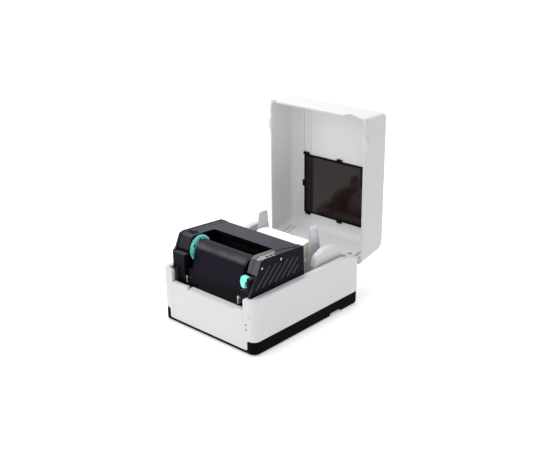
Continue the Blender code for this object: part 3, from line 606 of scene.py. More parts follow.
def round_edges(piece, width, segments=3):
    flat = piece.modifiers.new("flat faces", "DECIMATE")
    flat.decimate_type = "DISSOLVE"
    flat.angle_limit = math.radians(0.5)
    edge = piece.modifiers.new("rounded edges", "BEVEL")
    edge.width = width * MM
    edge.segments = segments
    edge.limit_method = "ANGLE"
    edge.angle_limit = math.radians(ROUNDED_FROM)
    edge.miter_outer = "MITER_ARC"


def shade(piece):
    smooth = piece.modifiers.new("even shading", "WEIGHTED_NORMAL")
    smooth.keep_sharp = True
    smooth.weight = 90
    piece.data.shade_smooth()
    piece.data.set_sharp_from_angle(angle=math.radians(SHARP_FROM))


def settle(piece, body, stands_for=(), slot=None, look=None, edge=0.5, segments=3):
    """Rounds, smooths and paints a new piece, which rides on BODY and may stand for CAD nodes."""
    slot = slot or SLOTS[stands_for[0]]
    if edge:
        round_edges(piece, edge, segments)
        bake(piece)
    shade(piece)
    piece.data.materials.clear()
    piece.data.materials.append(LOOKS[look or slot].material)
    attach(piece, body)
    if stands_for:
        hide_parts(*stands_for)
    return piece


def on_side(side, near, far):
    """Span along X from NEAR to FAR of the middle, on the left (-1) or the right (1)."""
    return (min(side * near, side * far), max(side * near, side * far))


# ---------------- housing
BODY_LOW, BODY_HIGH = node_box("body_shell")
HALF_WIDTH = BODY_HIGH.x
HALF_DEPTH = BODY_HIGH.y
RIM_TOP = BODY_HIGH.z
BODY_FOOT = BODY_LOW.z + 1.0
TRAY_TOP = node_box("bottom_tray")[1].z
CORNER_RADIUS = 12.0
RIM_FILLET = 3.5
WALL = 3.0
PILLAR_INNER = 83.3
RIM_INNER = 96.2
FRONT_WALL_BACK = -129.7
REAR_WALL_FRONT = 133.0
WELL_REAR = 117.5
ROOF_THICK = 2.9
SLOPE_START = 95.0
REAR_TOP = 84.7
LID_AXIS = joint_axis("lid_hinge")
CARRIAGE_AXIS = joint_axis("carriage_hinge")
HINGE_ARM_X = 70.0
PIN_HOLE = 2.8
STEP_X = 91.2


def plan(inset, z, half_width=None, half_depth=None):
    half_x = (half_width or HALF_WIDTH) - inset
    half_y = (half_depth or HALF_DEPTH) - inset
    outline = rounded_rectangle((-half_x, half_x), (-half_y, half_y), CORNER_RADIUS - inset, 12)
    return [(u, v, z) for u, v in outline]


def corner_step(gap):
    """Line between the white housing and the black tray at a front corner, GAP outside the housing."""
    upper, lower = 3.0, 4.0
    x, top, foot = STEP_X + gap, TRAY_TOP + GAP - gap, BODY_FOOT - gap
    outer = arc((x + upper - gap, top - upper + gap), upper - gap, 90, 180, 6)
    inner = arc((x - lower - gap, foot + lower + gap), lower + gap, 0, -90, 6)
    return outer + inner


def make_housing():
    rings = [plan(0.6, BODY_FOOT), plan(0, BODY_FOOT + 0.6)]
    for k in range(9):
        turn = math.radians(90 * k / 8)
        rings.append(plan(RIM_FILLET * (1 - math.cos(turn)), RIM_TOP - RIM_FILLET * (1 - math.sin(turn))))
    shell = loft("housing", rings)
    roof = RIM_TOP - ROOF_THICK
    half = HALF_WIDTH - WALL
    room = plate("inside", "XY", (-half, half), (FRONT_WALL_BACK, REAR_WALL_FRONT), 9.0, (-1, roof))
    profile = [(FRONT_WALL_BACK, -1), (REAR_WALL_FRONT, -1), (REAR_WALL_FRONT, REAR_TOP - 2.6),
               (SLOPE_START, roof), (FRONT_WALL_BACK, roof)]
    common(room, slab("inside_profile", "YZ", profile, THROUGH))
    cut(shell, room)
    slope = [(SLOPE_START, RIM_TOP), (150, 80.8), (150, 120), (SLOPE_START, 120)]
    cut(shell, slab("slope", "YZ", slope, ACROSS))
    cut(shell, block("tray_room", ACROSS, (-132.7, 150), (-1, TRAY_TOP + GAP)))
    for side in SIDES.values():
        step = [(150, TRAY_TOP + GAP)] + corner_step(0) + [(STEP_X - 4, -1), (150, -1)]
        cut(shell, slab("corner_room", "XZ", [(side * u, v) for u, v in step], FRONT))
    soft = 5.0
    edge = RIM_TOP - soft
    outer = PILLAR_INNER + soft
    opening = [(-PILLAR_INNER, -1), (PILLAR_INNER, -1), *arc((outer, edge), soft, 180, 90), (outer, 120),
               (-outer, 120), *arc((-outer, edge), soft, 90, 0)]
    cut(shell, slab("panel_opening", "XZ", opening, FRONT))
    well = (-RIM_INNER, RIM_INNER)
    cut(shell, plate("top_opening", "XY", well, (FRONT_WALL_BACK, WELL_REAR), 3.0, (80, 120)))
    cut(shell, block("front_room", well, (FRONT_WALL_BACK, -120), (80, 120)))
    for ends in ((-120, -106), (-102, -84), (-78, -52)):
        for side in (1, -1):
            cut(shell, plate("rim_slot", "XY", on_side(side, 98.6, 99.7), ends, 0.5, (90, 120), 4))
    hinge_lugs(shell)
    rear_cutouts(shell)
    front_cutouts(shell)
    settle(shell, "base", ["body_shell"], edge=0.7)


def hinge_lugs(shell):
    y, z = LID_AXIS
    slot_half = 5.2
    for side in SIDES.values():
        x = side * HINGE_ARM_X
        cut(shell, block("hinge_slot", (x - slot_half, x + slot_half), (112, 150), (66.5, 120)))
        for offset in (-1, 1):
            inner = x + offset * (slot_half - 0.2)
            lug = [(134, 70), (134, 83), (126, 84), *arc((y, z), 4.8, 60, 270, 12), (126, 70)]
            piece = slab("hinge_lug", "YZ", lug, sorted((inner, inner + offset * 3)))
            cut(piece, drum("lug_bore", "X", (y, z), PIN_HOLE, (x - 20, x + 20)))
            join(shell, piece)
        join(shell, drum("pivot_boss", "X", CARRIAGE_AXIS, 5.0, on_side(side, 97.0, 105.6), 0.3))
        cut(shell, drum("pivot_hole", "X", CARRIAGE_AXIS, PIN_HOLE, on_side(side, 90.0, 104.4)))


SWITCH_FRAME_Z = (39.8, 52.2)
LENS_ROWS = (51.4, 42.7)


def rear_cutouts(shell):
    openings = (("power_switch", 0.4, 1.2), ("power_inlet", 0.3, 1.0), ("usb_port", 0.3, 0.6))
    for node, play, corner in openings:
        low, high = node_box(node)
        if node == "power_switch":
            low.z, high.z = SWITCH_FRAME_Z
        width, height = (low.x - play, high.x + play), (low.z - play, high.z + play)
        cut(shell, plate("rear_cutout", "XZ", width, height, corner, (128, 140)))
    cut(shell, plate("plate_recess", "XZ", (28, 92), (28, 62), 2.0, (135.5, 140)))


def front_cutouts(shell):
    low, high = node_box("led_light_guide")
    button_low, button_high = node_box("feed_button")
    width = (low.x - GAP, high.x + GAP)
    for z in LENS_ROWS:
        cut(shell, plate("lens_slot", "XZ", width, (z - 1.1, z + 1.1), 1.05, (-140, -125), 6))
    centre = ((button_low.x + button_high.x) / 2, (button_low.z + button_high.z) / 2)
    cut(shell, drum("button_hole", "Y", centre, 4.8, (-140, -125), 0.1, 40))


def make_front_panel():
    low, high = node_box("front_panel")
    ends = (low.x, high.x)
    front = low.y
    lip = rounded([(front, BODY_FOOT, 0.8), (front, 68.6, 0.8), (-134.4, 70.2, 0.6), (-127.6, 70.2, 0.4),
                   (-127.6, 68.0, 0.3), (-133.2, 68.0, 0.4), (-133.2, BODY_FOOT, 0.3)], 0.5, 4)
    panel = slab("front_panel_skin", "YZ", lip, ends)
    left = rounded([(low.x, 60, 0), (-46, 60, 0), (-46, 75.2, 2.2), (low.x, 75.2, 1.5)], 1, 6)
    right = rounded([(65, 60, 0), (high.x, 60, 0), (high.x, 75.0, 1.5), (65, 75.0, 2.2)], 1, 6)
    join(panel, slab("left_block", "XZ", left, (front + 0.2, -130)))
    join(panel, slab("right_block", "XZ", right, (front + 0.2, -128)))
    cut(panel, plate("strip_seat", "XZ", (-44, 62), (69.7, 71), 0.4, (-133.6, -128.4)))
    settle(panel, "base", ["front_panel"], edge=0.45)
    lip = rounded([(-133.6, 69.8, 0.2), (-133.6, 70.6, 0.3), (-127.8, 71.4, 0.4), (-122.4, 71.4, 0.4),
                   (-122.4, 70.4, 0.2), (-127.4, 70.4, 0.2), (-127.9, 69.8, 0.2)], 0.3, 3)
    strip = slab("lip_strip", "YZ", lip, (-45.8, 64.8))
    settle(strip, "base", slot="white_plastic", look="lip_plastic", edge=0.1, segments=2)


def make_tray():
    levels = [(1.0, 0.4), (0.3, 0.7), (0.0, 1.4), (0.0, TRAY_TOP - 0.5), (0.4, TRAY_TOP)]
    tray = loft("tray", [plan(inset, z, HALF_WIDTH - 0.5, HALF_DEPTH - 0.5) for inset, z in levels])
    hollow = plate("tray_hollow", "XY", (-105, 105), (-133, 133), 9.0, (2.5, 40))
    inside = [(-133, 2), (123.6, 2), (131.2, 22), (133, 26), (133, 40), (-133, 40)]
    common(hollow, slab("heel_profile", "YZ", inside, THROUGH))
    cut(tray, hollow)
    step = corner_step(GAP)
    step.insert(0, (step[0][0], 60))
    gap = step + [(-u, v) for u, v in reversed(step)]
    cut(tray, slab("tray_front_gap", "XZ", gap, (-150, -125)))
    heel = [(126.7, -1), (126.7, 0), (136.3, 24), (150, 24), (150, -1)]
    cut(tray, slab("tray_heel", "YZ", heel, THROUGH))
    for side in SIDES.values():
        join(tray, block("notch_roof", on_side(side, 96.0, 106), (48, 91), (2.0, 6.6)))
        notch = rounded([(52, -3, 0), (55, 4.8, 1.2), (83, 4.8, 1.2), (87, -3, 0)], 1, 4)
        cut(tray, slab("tray_side_notch", "YZ", notch, on_side(side, 98.0, 120)))
    join(tray, drum("pinion_post", "Z", (0, 65), 2.2, (2, 23), 0.3))
    join(tray, plate("tray_pad", "XY", (-70, 70), (-90, 90), 4, (0, 1.5)))
    settle(tray, "base", ["bottom_tray"], edge=0.5)


# ---------------- cover
LID_EDGE = 96.8
LID_TOP = 162.0
LID_WALL = 2.5
LID_REAR = 129.3
WINDOW_X = 77.0
WINDOW_Y = (-28.0, 88.0)
GRIP_FRONT = -112.0
GRIP_LENGTH = 40.0
GRIP_DEPTH = 5.0
OPEN_DEGREES = 90


def opened(piece):
    """Turns a piece of the cover, drawn shut, about the hinge."""
    hinge = Matrix.Translation(Vector((0, *LID_AXIS)) * MM)
    turn = Matrix.Rotation(math.radians(-OPEN_DEGREES), 4, "X")
    piece.data.transform(hinge @ turn @ hinge.inverted())
    return piece


def lid_profile(inset):
    front, top, rear = -HALF_DEPTH + inset, LID_TOP - inset, LID_REAR - inset
    nose = max(10.0 - inset, 1.5)
    crown = max(20.0 - inset, 3.0)
    return [(front, 80), *arc((front + nose, top - nose), nose, 180, 90, 10),
            *arc((rear - 10.0 - crown, top - crown), crown, 90, 0, 16), (rear, LID_EDGE), (rear, 80)]


def lid_skin(name, half, wall, fillet):
    """Closed body of the cover, WALL inside its outer face, with its long edges rounded by FILLET."""
    steps = [math.radians(90 * k / 8) for k in range(9)]
    ends = [(half - fillet + fillet * math.sin(t), wall + fillet * (1 - math.cos(t))) for t in steps]
    stations = [(-x, inset) for x, inset in reversed(ends)] + ends
    return loft(name, [[(x, y, z) for y, z in lid_profile(inset)] for x, inset in stations])


def window_outline(inset, corner):
    x, (front, rear) = WINDOW_X, WINDOW_Y
    return rounded_rectangle((inset - x, x - inset), (front + inset, rear - inset), corner)


def make_cover():
    cover = lid_skin("cover_skin", HALF_WIDTH, 0.0, 8.0)
    cut(cover, lid_skin("cover_inside", HALF_WIDTH - LID_WALL, LID_WALL, 11.0))
    cut(cover, block("cover_below", ACROSS, (-160, 160), (60, LID_EDGE)))
    for name, inset, corner, top in (("hole", 6, 3.0, 170), ("seat", -0.4, 1.5, 159.9)):
        cut(cover, slab(f"window_{name}", "XY", window_outline(inset, corner), (150, top)))
    notch = rounded([(61, 90, 0), (62.5, LID_EDGE, 2), (66.5, 109.5, 6), (78, 110, 9),
                     (91, 103.5, 9), (98, 101.5, 4), (101.5, LID_EDGE, 2), (103, 90, 0)])
    cut(cover, slab("front_edge_notch", "XZ", notch, (-140, -128)))
    ear = rounded([(-101, 90, 0), (-101, 101, 2.5), (-94, 101, 2.5), (-94, 90, 0)])
    cut(cover, slab("front_edge_ear", "XZ", ear, (-140, -128)))
    for side in SIDES.values():
        bulge = []
        for k in range(15):
            swell = GRIP_DEPTH * math.sin(math.pi * k / 14) ** 1.5
            bulge.append((side * (HALF_WIDTH - 1.2 + swell), GRIP_FRONT + GRIP_LENGTH * k / 14))
        piece = slab("finger_grip", "XY", bulge, (LID_EDGE, 104.5))
        round_edges(piece, 1.4, 4)
        bake(piece)
        join(cover, piece)
    roof = LID_TOP - LID_WALL
    front = WINDOW_Y[0]
    for side in SIDES.values():
        rib, line = on_side(side, 61.0, 62.0), on_side(side, 79.0, 79.7)
        join(cover, block("inner_rib", rib, (-133.5, front - 2), (roof - 0.8, roof + 0.5)))
        cut(cover, block("inner_line", line, (-129, front - 1), (roof - 1, roof + 0.9)))
    channel = [(117.8, 138), (127.4, 97.6), (123.0, 97.6), (113.6, 138)]
    for x in (-93.3, -83.3, 83.3, 93.3):
        join(cover, slab("rear_rib", "YZ", channel, (x - 0.8, x + 0.8)))
    curl = rounded([(-134.5, 97.0, 0.3), (-138.4, 97.0, 1.2), (-138.6, 99.5, 1.2),
                    (-134.5, 104.5, 0.3)], segments=5)
    join(cover, slab("corner_curl", "YZ", curl, (-106.5, -98.0)))
    cut(cover, drum("wall_dimple", "X", (-76, 147), 1.4, (-107, -100), 0.2))
    settle(opened(cover), "lid", ["lid_shell"], edge=0.6)


def make_window():
    """Smoked pane in a black frame that is held by clip tabs."""
    x, (front, rear) = WINDOW_X, WINDOW_Y
    border = slab("window_frame", "XY", window_outline(0, 1.5), (156.9, 159.2))
    cut(border, slab("window_cut", "XY", window_outline(3.4, 2.5), (150, 165)))
    before, behind = (front - 4, front + 1), (rear - 1, rear + 4)
    tabs = [((-79, -66), before), ((1, 12), before), ((-74, -62), behind), ((3, 14), behind),
            ((-x - 3.6, -x + 1), (24, 36)), ((x - 1, x + 3.6), (24, 36)), ((62, 74), before),
            ((62, 74), behind)]
    for u, v in tabs:
        join(border, plate("clip_tab", "XY", u, v, 1.0, (156.2, 159.4), 4))
    settle(opened(border), "lid", slot="smoked_window", look="black_and_painted_shade", edge=0.35)
    pane = slab("window_pane", "XY", window_outline(3.5, 2.4), (157.4, 159.1))
    settle(opened(pane), "lid", ["lid_window"], edge=0.2)


# ---------------- ribbon carriage
CARRIAGE_HALF = node_box("carriage_cover_right")[1].x
SEAM_X = 81.6
RIBBON_OPENING = (-66.0, 72.0)
TAKE_UP_AXIS = joint_axis("take_up_spin")
SUPPLY_AXIS = joint_axis("supply_spin")


def make_carriage_frame():
    half = CARRIAGE_HALF - 4.3
    outline = rounded([(-112.5, 94, 0.5), (-112.5, 129.0, 6), (-103.0, 149.5, 3), (-96.0, 151.8, 6),
                       (-50.7, 149.6, 20), (-3.0, 146.5, 2.5), (-2.0, 94, 0.5)])
    body = slab("carriage_body", "YZ", outline, (-half, half))
    left, right = RIBBON_OPENING
    cut(body, plate("ribbon_opening", "XY", RIBBON_OPENING, (-111, -50), 4.0, (97, 200)))
    cut(body, block("front_opening", RIBBON_OPENING, (-130, -106), (80, 200)))
    cut(body, block("supply_room", RIBBON_OPENING, (-53, -5), (97, 143.5)))
    cut(body, block("film_slot", (-58, 58), (-60, -52), (80, 100)))
    room = [(-107, 90), (-107, 126), (-100, 140), (-17, 140), (-17, 90)]
    cut(body, slab("left_room", "YZ", room, (-88.5, left - 3)))
    cut(body, slab("right_room", "YZ", room, (right + 3, 88.5)))
    skirt = [(-140, 60), (-140, 160), (10, 160), (10, 144), (-50, 146.4), (-96.5, 148.8),
             (-101.2, 146.6), (-109.3, 128.6), (-109.3, 60)]
    lug = rounded([(-15.5, 96, 0), (-15.5, 85), (-12, 81.5), (-4, 81.5), (-2.2, 84), (-2.2, 96, 0)], 1, 4)
    for side in SIDES.values():
        cut(body, slab("skirt_room", "YZ", skirt, on_side(side, SEAM_X, 120)))
        join(body, slab("pivot_lug", "YZ", lug, on_side(side, 84.0, 90.0)))
        cut(body, drum("pivot_bore", "X", CARRIAGE_AXIS, PIN_HOLE, on_side(side, 80, 95)))
    for axis in (TAKE_UP_AXIS, SUPPLY_AXIS):
        cut(body, drum("journal", "X", axis, 4.3, (-70, 76.5), 0.1, 32))
    settle(body, "carriage", ["carriage_frame"], edge=0.6)


GROOVE_FOOT = (-116.4, 106.5)
GROOVE_PITCH = 14.75
GROOVE_TOPS = (137.5, 137.5, 133.5, 136.5, 134.5, 131.5, 118.0)
GROOVE_LEAN = 1.04


def groove_ends(k):
    """Ends of groove K: all start at one height, lean to the rear and end at their own height."""
    foot = (GROOVE_FOOT[0] + GROOVE_PITCH * k, GROOVE_FOOT[1])
    rise = GROOVE_TOPS[k] - foot[1]
    return (foot[0] + GROOVE_LEAN * rise, GROOVE_TOPS[k]), foot


def capsule(first, last, radius, segments=6):
    """Outline of a slot with round ends from FIRST to LAST."""
    run = Vector(last) - Vector(first)
    turn = math.degrees(math.atan2(run.y, run.x))
    return (arc(first, radius, turn + 90, turn + 270, segments)
            + arc(last, radius, turn - 90, turn + 90, segments))


SCREWS = ((-102.0, 138.7), (-57.3, 140.8))


def trim(piece, look, edge=0.0):
    """Settles a small part of the carriage that has a look of its own."""
    settle(piece, "carriage", slot="black_plastic", look=look, edge=edge, segments=2)


def make_side_covers():
    outer = CARRIAGE_HALF
    roof = [(-114.6, 129.6, 4), (-104.5, 151.4, 3), (-96.4, 153.4, 6), (-50.7, 150.5, 20), (-2.8, 147.5, 3)]
    skirt = rounded([(-112.8, 94, 0), (-112.8, 129.2, 5), (-103.2, 149.9, 3), (-96.2, 152.2, 6),
                     (-50.7, 149.9, 20), (-2.6, 146.9, 2), (-2.4, 144.6, 0), (-50.0, 147.0, 20),
                     (-96.0, 149.4, 3), (-100.9, 147.2, 3), (-109.6, 128.8, 3), (-109.6, 94, 0)])
    noses = {
        "left": [(-121, 93.5), (-121, 124, 2)],
        "right": [(-129, 93.5), (-129, 97.2), (-133, 97.2, 1.5)],
    }
    grooves = [groove_ends(k) for k in range(len(GROOVE_TOPS))]
    for name, side in SIDES.items():
        outline = rounded([*noses[name], *roof, (-1.3, 93.5)])
        cover = slab(f"side_cover_{name}", "YZ", outline, on_side(side, outer - 4, outer))
        join(cover, slab("skirt", "YZ", skirt, on_side(side, SEAM_X + GAP, outer - 3)))
        for top, foot in grooves:
            depth = on_side(side, outer - 1.2, outer + 1.0)
            cut(cover, slab("groove", "YZ", capsule(top, foot, 0.8), depth))
        for centre in SCREWS:
            depth = on_side(side, outer - 2.2, outer + 2)
            cut(cover, drum("screw_recess", "X", centre, 2.6, depth, steps=32))
        settle(cover, "carriage", [f"carriage_cover_{name}"], edge=0.7)
        # Light grey strips in the grooves: painted highlights standing for the glints on the groove edges.
        for k, (top, foot) in enumerate(grooves):
            depth = on_side(side, outer - 1.15, outer - 0.35)
            line = slab(f"groove_glint_{name}_{k}", "YZ", capsule(top, foot, 0.62), depth)
            trim(line, "groove_glint", 0.15)
        for k, centre in enumerate(SCREWS):
            make_screw(f"cover_screw_{name}_{k}", centre, side)


def make_screw(name, centre, side):
    """Pan-head screw with a cross recess, sunk in the side cover."""
    face = CARRIAGE_HALF - 0.5
    head = drum(name, "X", centre, 2.3, on_side(side, face, face - 1.5), 0.5, 32)
    for turn in (35, 125):
        angle = math.radians(turn)
        cross = capsule(polar(centre, -1.3, angle), polar(centre, 1.3, angle), 0.32, 3)
        cut(head, slab("cross", "YZ", cross, on_side(side, face - 0.8, face + 1)))
    settle(head, "carriage", slot="steel", edge=0.1, segments=2)


ROOF_FRONT = (-96.2, 152.2)
ROOF_FALL = 0.0567


def on_roof(piece):
    """Lays a flat piece, drawn at height 0, on the sloping top of the carriage."""
    for vertex in piece.data.vertices:
        vertex.co.z += (ROOF_FRONT[1] - ROOF_FALL * (vertex.co.y / MM - ROOF_FRONT[0])) * MM
    return piece


def make_roof_trim():
    """Strips on the right cheek painted lighter as painted sheen, and painted shade for the slots in them, the
    seams beside them and the left recesses.
    """
    outer = CARRIAGE_HALF - 0.3
    inner_strip, outer_strip = (72.6, 80.9), (83.0, outer)
    inner_facet = [(-113.1, 129.9), (-104.6, 149.2), (-103.9, 148.9), (-112.4, 129.6)]
    outer_facet = [(-115.0, 130.2), (-105.2, 151.2), (-104.4, 150.9), (-114.2, 129.9)]
    # The cheek and top strips are the black plastic painted lighter: painted sheen on the slanted faces and the
    # top chamfer.
    trim(slab("cheek_strip_inner", "YZ", inner_facet, inner_strip), "painted_sheen_violet", 0.15)
    trim(slab("cheek_strip_outer", "YZ", outer_facet, outer_strip), "painted_sheen_violet", 0.15)
    ridge = rounded([(-103.6, 151.0, 0.3), (-96.4, 154.0, 3), (-57, 151.6, 0.4), (-57, 150.0, 0.2),
                     (-96.2, 152.2, 3), (-103.0, 149.6, 0.2)], segments=4)
    strip = slab("top_strip", "YZ", ridge, outer_strip)
    slant = [(82, -59), (outer + 1, -70), (outer + 1, -50), (82, -50)]
    cut(strip, slab("strip_slant", "XY", slant, (140, 170)))
    trim(strip, "painted_sheen_strip", 0.2)
    ridge = [(y, z - 0.45) for y, z in ridge]
    trim(slab("top_strip_inner", "YZ", ridge, inner_strip), "painted_sheen_grey", 0.2)
    bend = [(82.0, -60.0), (82.4, -48.0), (84.0, -36.0), (87.2, -24.0), (91.2, -12.0), (93.0, -5.0)]
    inlays = []
    for k in range(3):
        y = -88.5 + 8.6 * k
        slot = rounded_rectangle((88.4, 94.4), (y, y + 4.0), 1.4, 4)
        inlays.append((f"strip_slot_{k}", slot, (1.2, 2.05)))
    inlays += [
        ("strip_seam", rounded_rectangle((81.2, 82.7), (-98, -57), 0.6, 4), (-0.4, 0.9)),
        ("cover_seam", bend + [(u - 1.1, v) for u, v in reversed(bend)], (-0.6, 0.75)),
        ("roof_groove", rounded_rectangle((-88.4, -86.8), (-62, -8), 0.7, 4), (-0.6, 0.08)),
        ("roof_recess", rounded_rectangle((-88.5, -70.5), (-94, -80), 1.0, 4), (-0.6, 0.08)),
    ]
    # Near-black slabs laid on the roof: painted shade for the slots, the seams and the recesses.
    for name, outline, height in inlays:
        trim(on_roof(slab(name, "XY", outline, height)), "black_and_painted_shade")


def make_lever():
    """Release lever: a wide thumb cap on a narrower stem."""
    top = node_box("release_lever")[1].z
    y, z = joint_axis("lever_pull")
    left, right = 66.3, 81.2
    profile = rounded([(y - 4.8, z - 1.5, 2), (y + 3.3, z - 3.5, 2), (y + 4.7, z + 13, 3),
                       (y + 3.5, z + 18.8, 3), (y - 3.0, z + 18.8, 3), (y - 5.8, z + 10, 4)])
    lever = slab("thumb_lever", "YZ", profile, (left, right))
    crown = top - 1.2
    front = rounded([(69.0, crown - 18.6, 1.5), (75.6, crown - 19.6, 1.5), (77.4, crown - 7.5, 2.5),
                     (right, crown - 5.8, 2), (right, crown, 2.4), (left + 1, crown, 2.6),
                     (left + 0.8, crown - 10, 3), (67.6, crown - 14, 4)])
    common(lever, slab("lever_front", "XZ", front, (y - 20, y + 20)))
    round_edges(lever, 1.3, 4)
    bake(lever)
    for k in range(3):
        height = top - 9.0 + 2.2 * k
        cut(lever, block("lever_rib", (69.0, 77.0), (y - 9, y - 4.6), (height, height + 0.7)))
    join(lever, drum("lever_journal", "X", (y, z), 2.0, (75, 87.0), 0.3))
    settle(lever, "lever", ["release_lever"], edge=0.2)


FILM_FOOT = (-121.0, 71.0)
FILM_HALF = 57.0
FILM_THICK = 0.22
FILM_GAP = 0.55
WEB_THICK = 0.18
RIBBON_HALF = 55.0
RIBBON_CORE = 13.0


def tangent_point(axis, radius, foot):
    """Point where a line from FOOT touches the front of a roll."""
    centre = Vector(axis)
    reach = Vector(foot) - centre
    angle = math.atan2(reach.y, reach.x) - math.acos(radius / reach.length)
    return Vector(polar(centre, radius, angle)), math.degrees(angle)


def ribbon_sheet(name, path, half, thick):
    """Thin sheet of width 2 * HALF that follows PATH (y, z)."""
    back = []
    for k, point in enumerate(path):
        before = Vector(path[max(k - 1, 0)])
        after = Vector(path[min(k + 1, len(path) - 1)])
        run = (after - before).normalized()
        back.append((point[0] - run.y * thick, point[1] + run.x * thick))
    stations = [-half + 2 * half * k / 24 for k in range(25)]
    return loft(name, [[(x, u, v) for u, v in path + back[::-1]] for x in stations])


def make_film():
    radius = node_radius("take_up_ribbon") + FILM_GAP
    top, angle = tangent_point(TAKE_UP_AXIS, radius, FILM_FOOT)
    wrap = arc(TAKE_UP_AXIS, radius, angle, angle - 150, 36)
    run = [tuple(Vector(FILM_FOOT).lerp(top, k / 20)) for k in range(20)]
    film = ribbon_sheet("film_run", run + wrap, FILM_HALF, -FILM_THICK)
    settle(film, "carriage", ["ribbon_film"], edge=0)


def wound(name, node, axis, outer, inner, half, body, look=None, steps=96):
    """Wound roll that stands for NODE; its end faces dip a little towards the core."""
    profile = rounded([(outer, half, 0.6), (inner, half - 0.3, 0.3), (inner, -half + 0.3, 0.3),
                       (outer, -half, 0.6)], segments=4)
    settle(turned(name, "X", axis, profile, steps), body, [node], look=look, edge=0)


TOOTH_TOP = 0.16  # half widths of a tooth, as parts of the pitch
TOOTH_FOOT = 0.28


def gear_ring(centre, teeth, outer, root):
    points = []
    pitch = 2 * math.pi / teeth
    flank = [(TOOTH_TOP - 0.06, outer), (TOOTH_TOP + 0.04, outer - 0.35), (TOOTH_FOOT, root)]
    tooth = [(-offset, radius) for offset, radius in reversed(flank)] + flank
    for k in range(teeth):
        points += [polar(centre, radius, (k + offset) * pitch) for offset, radius in tooth]
    return points


def make_take_up():
    outer = node_radius("take_up_gear")
    gear = slab("take_up_wheel", "YZ", gear_ring(TAKE_UP_AXIS, 36, outer, outer - 3.2), (-65.2, -61.6))
    for start, end in ((-67, -64.3), (-62.5, -60)):
        dish = rounded([(19.4, start), (8.5, start), (8.5, end), (19.4, end)], 0.5, 3)
        cut(gear, turned("dish", "X", TAKE_UP_AXIS, dish, 64))
    for k in range(6):
        centre = polar(TAKE_UP_AXIS, 14.6, math.radians(30 + 60 * k))
        cut(gear, drum("web_hole", "X", centre, 3.0, (-70, -58), 0.1, 28))
    join(gear, drum("gear_journal", "X", TAKE_UP_AXIS, 4.0, (-68.8, -63), 0.3, 32))
    settle(gear, "take_up", ["take_up_gear"], edge=0.22, segments=2)
    cap = drum("take_up_cap", "X", TAKE_UP_AXIS, 17.0, (55.3, 59.5), 0.8, 64)
    join(cap, drum("cap_hub", "X", TAKE_UP_AXIS, 9.0, (58, 63.5), 0.8, 48))
    settle(cap, "take_up", slot="black_plastic", edge=0)
    wound("take_up_roll", "take_up_ribbon", TAKE_UP_AXIS, node_radius("take_up_ribbon"), RIBBON_CORE,
          RIBBON_HALF, "take_up")
    # The supply roll wears the darker copy of the ribbon film, as painted shade.
    wound("supply_roll", "supply_ribbon", SUPPLY_AXIS, node_radius("supply_ribbon"), RIBBON_CORE,
          RIBBON_HALF, "supply", "ribbon_film_shaded")


HEAD_PINS = (("left", -62.2, 1.3), ("right", 59.0, 2.1))
PIN_Y = -120.6


def make_head_pins():
    """Sprung pins beside the film."""
    for name, x, radius in HEAD_PINS:
        axis = (x, PIN_Y)
        pin = drum(f"head_pin_{name}", "Z", axis, radius / 2, (74.4, 87.5), 0.3)
        join(pin, drum("pin_collar", "Z", axis, radius + 0.3, (84.5, 86.2), 0.3))
        join(pin, drum("pin_foot", "Z", axis, radius + 0.1, (74.4, 76.0), 0.3))
        settle(pin, "carriage", slot="steel", edge=0)
        turns = 5
        coil = []
        for k in range(14 * turns + 1):
            coil.append((*polar(axis, radius, 2 * math.pi * k / 14), 76.3 + 7.8 * k / (14 * turns)))
        settle(tube(f"head_spring_{name}", coil, 0.35, 2), "carriage", slot="steel", edge=0)


# ---------------- label roll and bay
def make_label_roll():
    """The roll, and the web that runs from its front over the deck to the print line."""
    half = node_box("label_roll")[1].x
    outer = node_radius("label_roll") + 2.5
    bore = node_radius("roll_core") + GAP
    wound("label_reel", "label_roll", (ROLL_Y, ROLL_Z), outer, bore, half - 1.0, "roll", steps=128)
    deck = node_box("media_guide")[1]
    foot = Vector((deck.y + 0.4, deck.z + 0.6))
    reach = Vector((ROLL_Y, ROLL_Z)) - foot
    angle = math.atan2(reach.y, reach.x) + math.asin((outer + GAP) / reach.length)
    length = math.sqrt(reach.length ** 2 - (outer + GAP) ** 2)
    touch = polar(foot, length, angle)
    level = deck.z + 0.25
    flat = [(-100 + 100 * k / 20, level) for k in range(21)]
    rise = rounded([(-1.0, level, 0), (2.6, level, 5.0), (*touch, 0), (60, 200, 0)], segments=8)
    path = flat + [p for p in rise if p[0] > 0.2 and p[1] < touch[1] + 0.01]
    web = ribbon_sheet("label_web", path, half - 0.5, -WEB_THICK)
    settle(web, "base", slot="label_paper", edge=0)


BAY_FLOOR = 27.0
BAY_WALL = 2.0


def make_bay():
    low, high = node_box("media_bay")
    outer = rounded([(low.y, 24.5), (high.y, 24.5, 3), (high.y, 87.0), (SLOPE_START, 92.6),
                     (low.y + 12, 92.6, 2), (low.y, 80)], 1, 4)
    bay = slab("bay_tub", "YZ", outer, (low.x, high.x))
    front, rear = low.y + BAY_WALL, high.y - BAY_WALL
    hollow = rounded([(front, BAY_FLOOR, 5), (rear, BAY_FLOOR, 8), (rear, 120, 0), (front, 120, 0)],
                     segments=8)
    cut(bay, slab("bay_inside", "YZ", hollow, (low.x + BAY_WALL, high.x - BAY_WALL)))
    way = rounded([(-60, 64.2, 2), (60, 64.2, 2), (60, 120, 0), (-60, 120, 0)])
    cut(bay, slab("label_way", "XZ", way, (0, 8)))
    for side in SIDES.values():
        cut(bay, plate("arm_slot", "XY", on_side(side, 56.5, 77.0), (60.5, 69.5), 2.0, (20, 30)))
    settle(bay, "base", ["media_bay"], edge=0.6)
    for name, side in SIDES.items():
        make_dome(name, side)


